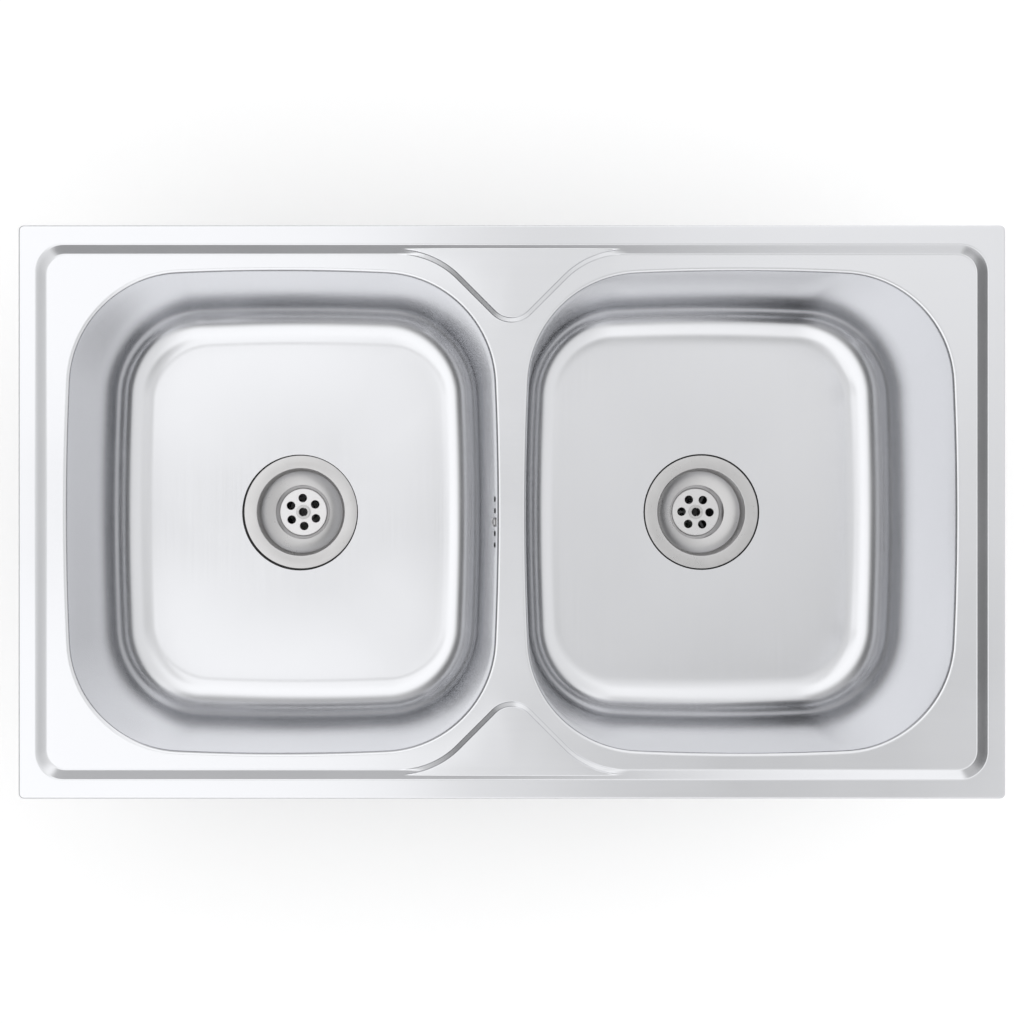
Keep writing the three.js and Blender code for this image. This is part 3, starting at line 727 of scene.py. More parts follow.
def brushed_grain_group() -> bpy.types.NodeTree:
    """Fine parallel scratches.

    Returns:
        The group. Shade is a value about 0 that runs along one direction, and Height their height.
    """
    fine_share, coarse_scale = 0.6, 0.23
    inputs = {"Stretch": ("Vector", (1.0, 1.0, 1.0)), "Contrast": ("Float", 1.0)}
    tree, source, sink = new_group("Brushed grain", inputs, ["Shade", "Height"])
    values = {"0": tree.place(), "1": source.outputs["Stretch"]}
    stretched = tree.node("ShaderNodeVectorMath", values, operation="MULTIPLY").outputs[0]
    fine = tree.noise(stretched, 1.0, 3.0)
    coarse = tree.noise(stretched, coarse_scale, 2.0)
    both = tree.plus(tree.times(fine, fine_share), tree.times(coarse, 1 - fine_share))
    shade = tree.times(tree.minus(both, 0.5), source.outputs["Contrast"])
    tree.link(shade, sink.inputs["Shade"])
    tree.link(fine, sink.inputs["Height"])
    return tree.tree


def mottle_group() -> bpy.types.NodeTree:
    """Soft patches, as pressing, polishing and handling leave them.

    Returns:
        The group. Shade is a value about 0, and Height goes from 0 to 1.
    """
    detail, distortion = 4.0, 0.4
    inputs = {"Scale": ("Float", 8.0), "Strength": ("Float", 1.0)}
    tree, source, sink = new_group("Mottle", inputs, ["Shade", "Height"])
    patches = tree.noise(tree.place(), source.outputs["Scale"], detail, distortion)
    shade = tree.times(tree.minus(patches, 0.5), source.outputs["Strength"])
    tree.link(shade, sink.inputs["Shade"])
    tree.link(patches, sink.inputs["Height"])
    return tree.tree


def speckle_group() -> bpy.types.NodeTree:
    """A fine pebbled skin, as rubber, foam and moulded plastic have.

    Returns:
        The group. Shade is a value about 0, and Height the pebbles' height.
    """
    middle = 0.6
    inputs = {"Scale": ("Float", 900.0), "Softness": ("Float", 0.5)}
    tree, source, sink = new_group("Speckle", inputs, ["Shade", "Height"])
    values = {"Vector": tree.place(), "Scale": source.outputs["Scale"]}
    cells = tree.node("ShaderNodeTexVoronoi", values).outputs["Distance"]
    noise = tree.noise(values["Vector"], source.outputs["Scale"], 2.0)
    height = tree.plus(cells, tree.times(noise, source.outputs["Softness"]))
    tree.link(tree.minus(height, middle), sink.inputs["Shade"])
    tree.link(height, sink.inputs["Height"])
    return tree.tree


def painted_shade_group() -> bpy.types.NodeTree:
    """Painted shade on a metal: darker in a band about a height, and nearly black on marked points.

    Returns:
        The group. Clean is 1 where no shade is painted.
    """
    inputs = {"Level": ("Float", 0.0), "Spread": ("Float", 1.0), "Shade": ("Float", 0.0)}
    tree, source, sink = new_group("Painted shade", inputs, ["Clean"])
    height = tree.node("ShaderNodeSeparateXYZ", {"0": tree.place()}).outputs["Z"]
    away = tree.math("ABSOLUTE", tree.minus(height, source.outputs["Level"]))
    # Painted shade: a darker band about the given height.
    drawn = tree.ramp(away, 0.0, source.outputs["Spread"], source.outputs["Shade"], 0.0)
    # Painted shade: marked points turn nearly black.
    marked = tree.node("ShaderNodeAttribute", attribute_name=SHADE_MARK).outputs["Fac"]
    unshaded_by_mark = tree.minus(1.0, tree.times(marked, SHADE_MARK_STRENGTH))
    tree.link(tree.times(tree.minus(1.0, drawn), unshaded_by_mark), sink.inputs["Clean"])
    return tree.tree


GROUPS = {
    "grain": brushed_grain_group(),
    "mottle": mottle_group(),
    "speckle": speckle_group(),
    "painted_shade": painted_shade_group(),
}


# ---------------------------------------------------------------- finishes


class Grain(Enum):
    """The way that a metal's scratches run."""

    ALONG_X = (12.0, 2200.0, 2200.0)
    ALONG_Y = (2200.0, 12.0, 2200.0)
    ALL_WAYS = (900.0, 900.0, 900.0)


def add_bump(tree: Tree, height: Socket, depth: float, strength: float, normal: Socket) -> None:
    """Gives a shader a bumpy skin.

    Args:
        tree: the material's tree.
        height: the skin's height.
        depth: how deep it is, in millimetres.
        strength: how much of it shows.
        normal: the shader's normal.
    """
    values = {"Height": height, "Distance": depth * MM, "Strength": strength}
    tree.link(tree.node("ShaderNodeBump", values).outputs[0], normal)


def blank_material(name: str) -> tuple[bpy.types.Material, Tree, bpy.types.Node]:
    """A new material, with its tree and its Principled shader.

    Args:
        name: the material's name.

    Returns:
        The material, the tree and the shader.
    """
    made = bpy.data.materials.new(name)
    made.use_nodes = True
    return made, Tree(made.node_tree), made.node_tree.nodes["Principled BSDF"]


@dataclass(frozen=True)
class MetalFinish:
    """A bare or plated metal: its colour, gloss, scratches and patches, and a band of painted
    shade.
    """

    name: str
    slot: str
    colour: tuple[float, float, float]
    roughness: float
    grain: Grain
    streak: float = 0.06
    roughness_spread: float = 0.12
    scratch_depth: float = 0.02
    scratch_strength: float = 0.5
    patch_scale: float = 9.0
    patch: float = 0.05
    anisotropy: float = 0.0
    # Painted shade: the colour darkens in a band about a height, by a half width and a strength.
    painted_shade_level: float = 0.0
    painted_shade_spread: float = 22 * MM
    painted_shade_strength: float = 0.0

    def material(self) -> bpy.types.Material:
        """The finish as a material, built once.

        Returns:
            The material, which every piece of this finish shares.
        """
        found = bpy.data.materials.get(self.name)
        if found:
            return found
        made, tree, shader = blank_material(self.name)
        shader.inputs["Metallic"].default_value = 1.0
        shader.inputs["Anisotropic"].default_value = self.anisotropy
        values = {"Stretch": self.grain.value}
        grain = tree.node("ShaderNodeGroup", values, node_tree=GROUPS["grain"]).outputs
        values = {"Scale": self.patch_scale}
        patches = tree.node("ShaderNodeGroup", values, node_tree=GROUPS["mottle"]).outputs
        # Painted shade: a darker band about a height, and nearly black on marked points.
        values = {
            "Level": self.painted_shade_level, "Spread": self.painted_shade_spread, "Shade": self.painted_shade_strength
        }
        painted_shade = tree.node("ShaderNodeGroup", values, node_tree=GROUPS["painted_shade"]).outputs
        streaks = tree.times(grain["Shade"], self.streak)
        clouds = tree.times(patches["Shade"], self.patch)
        level = tree.times(tree.plus(tree.plus(streaks, clouds), 1.0), painted_shade["Clean"])
        tree.link(tree.tint(self.colour, level), shader.inputs["Base Color"])
        spread = tree.times(grain["Shade"], self.roughness_spread)
        worn = tree.times(patches["Shade"], self.roughness_spread)
        gloss = tree.plus(tree.plus(spread, worn), self.roughness, clamp=True)
        tree.link(gloss, shader.inputs["Roughness"])
        depth, strength = self.scratch_depth, self.scratch_strength
        add_bump(tree, grain["Height"], depth, strength, shader.inputs["Normal"])
        return made


@dataclass(frozen=True)
class MouldedFinish:
    """Rubber, foam, bitumen or moulded plastic: its colour, gloss and pebbled skin."""

    name: str
    slot: str
    colour: tuple[float, float, float]
    roughness: float
    speckle_scale: float = 900.0
    speckle: float = 0.1
    skin_depth: float = 0.05
    skin_strength: float = 0.6
    patch: float = 0.1
    sheen: float = 0.0
    patch_scale: float = 30.0
    roughness_spread: float = 0.2

    def material(self) -> bpy.types.Material:
        """The finish as a material, built once.

        Returns:
            The material, which every piece of this finish shares.
        """
        found = bpy.data.materials.get(self.name)
        if found:
            return found
        made, tree, shader = blank_material(self.name)
        shader.inputs["Sheen Weight"].default_value = self.sheen
        values = {"Scale": self.speckle_scale}
        pebbles = tree.node("ShaderNodeGroup", values, node_tree=GROUPS["speckle"]).outputs
        values = {"Scale": self.patch_scale}
        patches = tree.node("ShaderNodeGroup", values, node_tree=GROUPS["mottle"]).outputs
        spots = tree.times(pebbles["Shade"], self.speckle)
        clouds = tree.times(patches["Shade"], self.patch)
        level = tree.plus(tree.plus(spots, clouds), 1.0)
        tree.link(tree.tint(self.colour, level), shader.inputs["Base Color"])
        worn = tree.times(patches["Shade"], self.roughness_spread)
        tree.link(tree.plus(worn, self.roughness, clamp=True), shader.inputs["Roughness"])
        depth, strength = self.skin_depth, self.skin_strength
        add_bump(tree, pebbles["Height"], depth, strength, shader.inputs["Normal"])
        return made


Finish = MetalFinish | MouldedFinish

STEEL_COLOUR = (0.744, 0.75, 0.772)
DECK_STEEL = MetalFinish(
    "deck_steel", "brushed_stainless", STEEL_COLOUR, 0.21, Grain.ALONG_X, streak=0.045
)
BOWL_STEEL = MetalFinish(
    "bowl_steel",
    "brushed_stainless",
    STEEL_COLOUR,
    0.2,
    Grain.ALONG_Y,
    patch=0.03,
    # Painted shade: the lower wall and fillet, about 110 mm down, are darker.
    painted_shade_level=-110 * MM,
    painted_shade_spread=40 * MM,
    painted_shade_strength=0.24,
)
CUP_STEEL = MetalFinish(
    "cup_steel",
    "polished_stainless",
    (0.59, 0.585, 0.585),
    0.3,
    Grain.ALL_WAYS,
    streak=0.08,
    patch_scale=40.0,
    patch=0.16,
    anisotropy=0.7,
    # Painted shade: the cup's dish, about 163 mm down, is darker.
    painted_shade_level=-163 * MM,
    painted_shade_spread=15 * MM,
    painted_shade_strength=0.12,
)
PLATE_STEEL = MetalFinish(
    "plate_steel", "polished_stainless", (0.72, 0.715, 0.72), 0.3, Grain.ALL_WAYS, streak=0.08
)
ZINC = MetalFinish(
    "zinc_plate", "plated_steel", (0.62, 0.63, 0.65), 0.38, Grain.ALL_WAYS, streak=0.14, patch=0.12
)
BRASS = MetalFinish("turned_brass", "brass", (0.72, 0.55, 0.28), 0.3, Grain.ALL_WAYS)
RUBBER = MouldedFinish("black_rubber", "black_rubber", (0.018, 0.018, 0.019), 0.6, 1400, sheen=0.05)
FOAM = MouldedFinish("grey_foam", "grey_foam", (0.2, 0.2, 0.21), 0.92, 1500, 0.35, 0.25)
BITUMEN = MouldedFinish("bitumen", "bitumen_pad", (0.22, 0.22, 0.23), 0.85, 420, 0.25, 0.4)
PLASTIC = MouldedFinish(
    "moulded_plastic", "black_plastic", (0.035, 0.036, 0.039), 0.42, 700, 0.08, 0.03
)


def body_of(node: str) -> str:
    """The body that a plain solid rides on."""
    bodies = frame["record"]["behaviour"]["bodies"]
    return next(body for body, members in bodies.items() if node in members)


def fit(made: Piece, node: str, finish: Finish) -> Piece:
    """Puts a fine piece in the place of its plain solid.

    Args:
        made: the piece, in the sink's frame.
        node: the solid that it stands for.
        finish: its finish.

    Returns:
        The piece.
    """
    made.name = f"{node}_fine"
    made.data.materials.clear()
    made.data.materials.append(finish.material())
    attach(made, body_of(node))
    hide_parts(node)
    LOG.info("%s: %d faces, %s", made.name, len(made.data.polygons), finish.name)
    return made


# ---------------------------------------------------------------- the pressed top


@dataclass(frozen=True)
class PressedStep:
    """A step pressed in sheet. Each end leads in gently, and may fold steeply before the face."""

    width: float
    drop: float
    lead: float
    fold: float = 0.0
    lead_angle: float = math.radians(8)
    fold_angle: float = math.radians(60)
    face_angle: float = math.radians(45.8)
    fold_radius: float = 1.2 * MM
    flat: float = 6 * MM

    def path(self) -> list[Point]:
        """The step's section as (run, height) points from below its foot to beyond its top.

        Returns:
            The points in order, with both heights from the foot.
        """
        lead_rise = self.lead * math.tan(self.lead_angle)
        fold_rise = self.fold * math.tan(self.fold_angle)
        face_rise = self.drop - 2 * (lead_rise + fold_rise)
        face_run = face_rise / math.tan(self.face_angle)
        ends = [(self.flat, 0.0), (self.lead, lead_rise), (self.fold, fold_rise)]
        pieces = [*ends, (face_run, face_rise), *ends[::-1]]
        pieces = [(run, rise) for run, rise in pieces if run > 0]
        start = (self.width - sum(run for run, _ in pieces)) / 2
        corners = [
            (start + sum(run for run, _ in pieces[:k]), sum(rise for _, rise in pieces[:k]))
            for k in range(len(pieces) + 1)
        ]
        return rounded(corners, self.fold_radius, steps=4, closed=False)

    def rise(self, run: np.ndarray) -> np.ndarray:
        """The height above the foot at each run."""
        path = np.array(self.path())
        return np.interp(run, path[:, 0], path[:, 1])

    def stations(self) -> list[float]:
        """The runs at which the section bends."""
        return [run for run, _ in self.path()[1:-1]]


@dataclass
class PressedTop:
    """The flange, the step, the flat deck and the two three-cornered panels, in one sheet."""

    half_x: float
    half_y: float
    top: float
    lip: float
    bowl_x: float
    hole: Loop
    corner: float = 5 * MM
    roll: float = 1.75 * MM
    flange_side: float = 14.4 * MM
    flange_front: float = 16.2 * MM
    foot_corner: float = 16.3 * MM
    step: PressedStep = PressedStep(8.7 * MM, 7 * MM, 1.096 * MM)
    panel_step: PressedStep = PressedStep(
        4.8 * MM,
        4 * MM,
        0.4 * MM,
        0.48 * MM,
        lead_angle=math.radians(25),
        face_angle=math.radians(33),
        fold_radius=0.8 * MM,
    )
    panel_depth: float = 57.1 * MM
    apex_radius: float = 22 * MM
    sweep_radius: float = 75 * MM
    flank_angle: float = math.radians(45)
    blend: float = 0.5 * MM
    least_rise: float = 0.001 * MM
    blend_fade: float = 30 * MM
    root_fade: float = 18 * MM
    corner_steps: int = 16
    side_steps: int = 60

    def __post_init__(self) -> None:
        """Works out the places of the step's foot and of a panel's arcs."""
        self.foot_x = self.half_x - self.flange_side - self.step.width
        self.foot_y = self.half_y - self.flange_front - self.step.width
        self.deck = self.top - self.step.drop
        self.apex_y = self.foot_y - self.panel_depth
        self.root_y = self.foot_y + self.panel_step.width / 2
        sine, cosine = math.sin(self.flank_angle), math.cos(self.flank_angle)
        self.flank_start = (self.apex_radius * sine, self.apex_y + self.apex_radius * (1 - cosine))
        flank_end_y = self.root_y - self.sweep_radius * (1 - cosine)
        rise = flank_end_y - self.flank_start[1]
        flank_end_x = self.flank_start[0] + rise / math.tan(self.flank_angle)
        self.root_x = flank_end_x + self.sweep_radius * sine

    def beyond_foot(self, flat: np.ndarray) -> np.ndarray:
        """How far each plane point lies outside the step's foot.

        Args:
            flat: plane points, as an array of (x, y) rows.

        Returns:
            A distance for each point, below 0 inside.
        """
        core = np.array([self.foot_x, self.foot_y]) - self.foot_corner
        reach = np.abs(flat) - core
        outside = np.linalg.norm(np.maximum(reach, 0), axis=1)
        return outside + np.minimum(reach.max(1), 0) - self.foot_corner

    def within_panel(self, flat: np.ndarray) -> np.ndarray:
        """How far each plane point lies inside the nearer panel's outline.

        Args:
            flat: plane points, as an array of (x, y) rows.

        Returns:
            A distance for each point, below 0 outside.
        """
        x, y = np.abs(flat).T
        apex_centre_y = self.apex_y + self.apex_radius
        apex = self.apex_radius - np.hypot(x, y - apex_centre_y)
        flank = (y - self.flank_start[1]) * math.cos(self.flank_angle)
        flank -= (x - self.flank_start[0]) * math.sin(self.flank_angle)
        sweep_centre_y = self.root_y - self.sweep_radius
        sweep = np.hypot(x - self.root_x, y - sweep_centre_y) - self.sweep_radius
        slope = math.tan(self.flank_angle)
        in_apex = x <= (apex_centre_y - y) * slope
        before_root = self.root_x - x
        in_sweep = (before_root >= 0) & (before_root <= (y - sweep_centre_y) * slope)
        inner = np.where(in_apex, apex, np.where(in_sweep, sweep, flank))
        return np.where(before_root < 0, y - self.root_y, inner)

    def height(self, flat: np.ndarray) -> np.ndarray:
        """The top face's height over each plane point.

        Args:
            flat: plane points, as an array of (x, y) rows.

        Returns:
            A height for each point.
        """
        outer = self.step.rise(self.beyond_foot(flat))
        half_step = self.panel_step.width / 2
        panel = self.panel_step.rise(self.within_panel(flat) + half_step)
        before_root = self.root_x - np.abs(flat[:, 0])
        blend = self.blend * np.clip(before_root / self.blend_fade, 0.001, 1)
        near = np.maximum(blend - np.abs(outer - panel), 0) / blend
        lift = np.where(np.minimum(outer, panel) > self.least_rise, near**2 * blend / 4, 0)
        share = np.clip(before_root / self.root_fade, 0, 1)
        gain = (np.maximum(panel - outer, 0) + lift) * share**2 * (3 - 2 * share)
        return self.deck + outer + gain

    def ring(self, inset: float) -> Loop:
        """A loop parallel to the sheet's outer edge.

        Args:
            inset: how far the loop is drawn in.

        Returns:
            The loop's points.
        """
        half_x, half_y = self.half_x - inset, self.half_y - inset
        corner = self.corner - inset
        return rounded_rectangle(half_x, half_y, corner, self.corner_steps, self.side_steps)

    def foot_ring(self, run: float) -> Loop:
        """A closed line parallel to the step's foot.

        Args:
            run: the distance outwards from the foot.

        Returns:
            The line's points.
        """
        half_x, half_y = self.foot_x + run, self.foot_y + run
        corner = self.foot_corner + run
        loop = rounded_rectangle(half_x, half_y, corner, self.corner_steps, self.side_steps)
        return np.concatenate([loop, loop[:1]])

    def panel_line(self, inside_by: float, back: bool) -> Loop:
        """A line parallel to a panel's outline.

        Args:
            inside_by: how far it lies inside the outline.
            back: True for the panel at the back.

        Returns:
            The line from the panel's left root to its right root.
        """
        apex = self.apex_radius - inside_by
        sweep = self.sweep_radius + inside_by
        down = -math.pi / 2
        up = math.pi / 2
        apex_centre = (0.0, self.apex_y + self.apex_radius)
        sweep_centre = (self.root_x, self.root_y - self.sweep_radius)
        right = arc(apex_centre, apex, down, down + self.flank_angle, steps=10)
        right += arc(sweep_centre, sweep, up + self.flank_angle, up, steps=22)
        line = np.array(right)
        whole = np.concatenate([line[::-1][:-1] * (-1, 1), line])
        return whole if back else whole * (-1, -1)

    def build(self) -> Piece:
        """The whole sheet as one closed mesh, shaded from its own slopes.

        Returns:
            The sheet, in the part's own frame.
        """
        holes = [self.hole + (side * self.bowl_x, 0) for side in (-1, 1)]
        lines = [self.foot_ring(run) for run in self.step.stations()]
        runs, heights = np.array(self.step.path()).T
        merge = np.interp(self.panel_step.drop, heights, runs)
        lines += [self.foot_ring(merge + k * self.blend / 2) for k in (-2, -1, 0, 1, 2)]
        half_step = self.panel_step.width / 2
        for run in self.panel_step.stations():
            lines += [self.panel_line(run - half_step, back) for back in (True, False)]
        plan = PlanSheet(self.ring(self.roll), holes, lines)
        flat, triangles, borders = plan.triangles()
        z = self.height(flat)
        count = len(flat)
        upper = np.column_stack([flat, z])
        points = [upper, upper - (0, 0, SHEET)]
        faces = sheet_faces(triangles, borders[1:], count)
        outer = borders[0]
        previous = outer
        total = 2 * count
        for inset, level in self.roll_section():
            points.append(at_level(self.ring(inset), level))
            current = np.arange(total, total + len(outer))
            total += len(outer)
            faces += self.strip(previous, current)
            previous = current
        faces += self.strip(previous, outer + count)
        made = mesh_object("pressed_top", np.concatenate(points), faces)
        normals = slope_normals(self.height, flat)
        set_normals(made.data, np.concatenate([normals, -normals]), 2 * len(triangles))
        return made

    def roll_section(self) -> list[Point]:
        """The rolled edge's section as (inset, z), from the top face round to the under face.

        Returns:
            The points in order.
        """
        inner = self.roll - SHEET
        centre = (self.roll, self.top - self.roll)
        outer_face = arc(centre, self.roll, math.pi / 2, math.pi, steps=8)[1:]
        inner_face = arc(centre, inner, math.pi, math.pi / 2, steps=6)[:-1]
        ease = SHEET / 4
        edge = [(0, self.lip + ease), (ease, self.lip)]
        edge += [(SHEET - ease, self.lip), (SHEET, self.lip + ease)]
        return outer_face + edge + inner_face

    @staticmethod
    def strip(first: np.ndarray, second: np.ndarray) -> list[list[int]]:
        """The faces between two loops of point numbers."""
        after_first, after_second = np.roll(first, -1), np.roll(second, -1)
        return [list(f) for f in zip(first, after_first, after_second, second, strict=True)]


@dataclass(frozen=True)
class RimSeal:
    """The foam seal between the flange and the worktop."""

    half_x: float
    half_y: float
    thickness: float
    width: float
    edge: float = 0.35 * MM
    corner: float = 3.5 * MM
    inner_corner: float = 1 * MM

    def build(self) -> Piece:
        """The seal as a strip with eased edges, resting on z = 0.

        Returns:
            The seal, centred on the Z axis.
        """
        section = rounded(rectangle(0, 0, self.width, self.thickness), self.edge, 3)
        rings = []
        for inset, z in section:
            corner = max(self.corner - inset, self.inner_corner)
            half_x, half_y = self.half_x - inset, self.half_y - inset
            rings.append(at_level(rounded_rectangle(half_x, half_y, corner, corner=6, side=30), z))
        points, faces = skin(rings, closed=True)
        return mesh_object("rim_seal", points, faces)


# ---------------------------------------------------------------- the bowls


@dataclass
class Bowl:
    """A pressed bowl, from the rolled rim at the deck's surface to the waste's seat."""

    outline: BowlOutline
    centre_x: float
    waste_x: float
    deck: float
    drain: float
    seat_shift: Point = (0.0, 0.0)
    rim_radius: float = 3.2 * MM
    flange: float = 4 * MM
    draft: float = math.radians(5.3)
    fillet: float = 36 * MM
    floor_fall: float = 2 * MM
    seat_top: float = 58 * MM
    seat_bottom: float = 57.6 * MM
    seat_depth: float = 2.8 * MM
    hole: float = 45 * MM
    seat_edge: float = 0.4 * MM
    seat_lead: float = 4 * MM
    dry_seat_edge: float = 0.9 * MM
    dry_spread: float = 0.7 * SHEET
    flange_root: float = 1.6 * SHEET
    fall_power: float = 1.5
    rim_steps: int = 8
    wall_steps: int = 6
    fillet_steps: int = 18
    floor_rings: int = 16

    def __post_init__(self) -> None:
        """Works out where the wall starts and where the fillet meets the floor."""
        self.under = self.deck - SHEET
        end = math.pi / 2 - self.draft
        wall_top = self.deck - self.rim_radius * (1 - math.cos(end))
        lean = (self.under - wall_top) * math.tan(self.draft)
        self.rim_reach = self.rim_radius * math.sin(end) - lean
        self.floor_start = self.drain + self.floor_fall
        fillet_top = self.floor_start + self.fillet * (1 - math.sin(self.draft))
        fillet_run = (self.under - fillet_top) * math.tan(self.draft)
        self.floor_run = fillet_run + self.fillet * math.cos(self.draft)

    def wall_path(self) -> list[Point]:
        """The wet face from the rim to the floor's start, as (inset, z).

        Returns:
            The points in order.
        """
        centre = (-self.rim_reach, self.deck - self.rim_radius)
        path = arc(centre, self.rim_radius, math.pi / 2, self.draft, self.rim_steps)
        centre = (self.floor_run, self.floor_start + self.fillet)
        turns = (math.pi + self.draft, math.pi * 3 / 2)
        fillet = arc(centre, self.fillet, *turns, self.fillet_steps)
        first, last = np.array(path[-1]), np.array(fillet[0])
        steps = self.wall_steps
        path += [tuple(first + (last - first) * k / steps) for k in range(1, steps)]
        return path + fillet

    def floor_rings_of(self, level_shift: float) -> list[np.ndarray]:
        """The floor from the fillet's foot to the seat's edge.

        Args:
            level_shift: how far the face lies from the wet face, along Z.

        Returns:
            Its rings, without the first, which the wall gives.
        """
        foot = self.outline.loop(self.floor_run)
        drain = self.round_loop(self.seat_top, foot)
        rings = []
        for k in range(1, self.floor_rings + 1):
            share = k / self.floor_rings
            loop = foot + (drain - foot) * share
            fall = self.floor_fall * share**self.fall_power
            rings.append(at_level(loop, self.floor_start - fall + level_shift))
        return rings

    def round_loop(self, radius: float, foot: Loop) -> Loop:
        """A circle about the waste whose points lie in the directions of the floor's outline.

        Args:
            radius: the circle's radius.
            foot: the floor's outline, as plane points.

        Returns:
            One point for each of foot's.
        """
        offset = np.array([self.waste_x - self.centre_x, 0.0]) + self.seat_shift
        turns = np.arctan2(foot[:, 1] - offset[1], foot[:, 0] - offset[0])
        return offset + radius * np.column_stack([np.cos(turns), np.sin(turns)])

    def rings(self) -> list[np.ndarray]:
        """The closed section's rings: wet face down to the waste's hole, and back up outside.

        Returns:
            The rings in order, each with the same count of points.
        """
        wall = self.wall_path()
        outside = [p for p in parallel(wall, SHEET) if p[1] < self.under - SHEET]
        wet = [at_level(self.outline.loop(run), z) for run, z in wall]
        wet += self.floor_rings_of(0)
        foot = self.outline.loop(self.floor_run)
        low, dry_low = self.drain - self.seat_depth, self.drain - self.seat_depth - SHEET
        corners = [(self.seat_top + self.seat_lead, self.drain), (self.seat_top, self.drain)]
        corners += [(self.seat_bottom, low), (self.hole, low)]
        seat = rounded(corners, self.seat_edge, 4, closed=False)[1:]
        wet += [at_level(self.round_loop(r, foot), z) for r, z in seat]
        corners = [
            (self.hole, dry_low),
            (self.seat_bottom + self.dry_spread, dry_low),
            (self.seat_top + self.dry_spread, self.drain - SHEET),
        ]
        dry_seat = rounded(corners, self.dry_seat_edge, 3, closed=False)
        dry = [at_level(self.round_loop(r, foot), z) for r, z in dry_seat]
        dry += self.floor_rings_of(-SHEET)[::-1][2:]
        dry += [at_level(self.outline.loop(run), z) for run, z in outside[::-1]]
        flange = [
            (-self.flange_root, self.under - SHEET),
            (-self.flange, self.under - SHEET),
            (-self.flange, self.under),
            (-self.rim_reach, self.under),
        ]
        dry += [at_level(self.outline.loop(run), z) for run, z in flange]
        return wet + dry

    def build(self, name: str) -> Piece:
        """The bowl as one closed mesh in its place."""
        points, faces = skin(self.rings(), closed=True)
        return moved(mesh_object(name, points, faces), shift(x=self.centre_x))


@dataclass(frozen=True)
class SoundPad:
    """A sound-deadening pad stuck under a bowl's floor."""

    half: float
    top: float
    rise: float
    thickness: float
    hole: float = 66 * MM
    corner: float = 12 * MM
    edge: float = 0.5 * MM
    corner_steps: int = 6
    side_steps: int = 18

    def outline(self, inset: float) -> Loop:
        """The pad's outline drawn in by inset."""
        half, corner = self.half - inset, self.corner - inset
        return rounded_rectangle(half, half, corner, self.corner_steps, self.side_steps)

    def build(self, name: str, centre_x: float) -> Piece:
        """The pad, dished a little to follow the floor's fall.

        Args:
            name: the piece's name.
            centre_x: the pad's middle along X.

        Returns:
            The pad, in the part's own frame.
        """
        foot = self.outline(0)
        turns = np.arctan2(foot[:, 1], foot[:, 0])
        directions = np.column_stack([np.cos(turns), np.sin(turns)])
        inner = [at_level(directions * self.hole, self.top - d) for d in (0.0, self.thickness)]
        low, edge = self.thickness, self.edge
        outer = [
            at_level(self.outline(inset), self.top + self.rise - drop)
            for inset, drop in ((edge, 0), (0, edge), (0, low - edge), (edge, low))
        ]
        rings = [inner[0], *outer, inner[1]]
        points, faces = skin(rings, closed=True)
        return moved(mesh_object(name, points, faces), shift(x=centre_x))


# ---------------------------------------------------------------- the strainer wastes


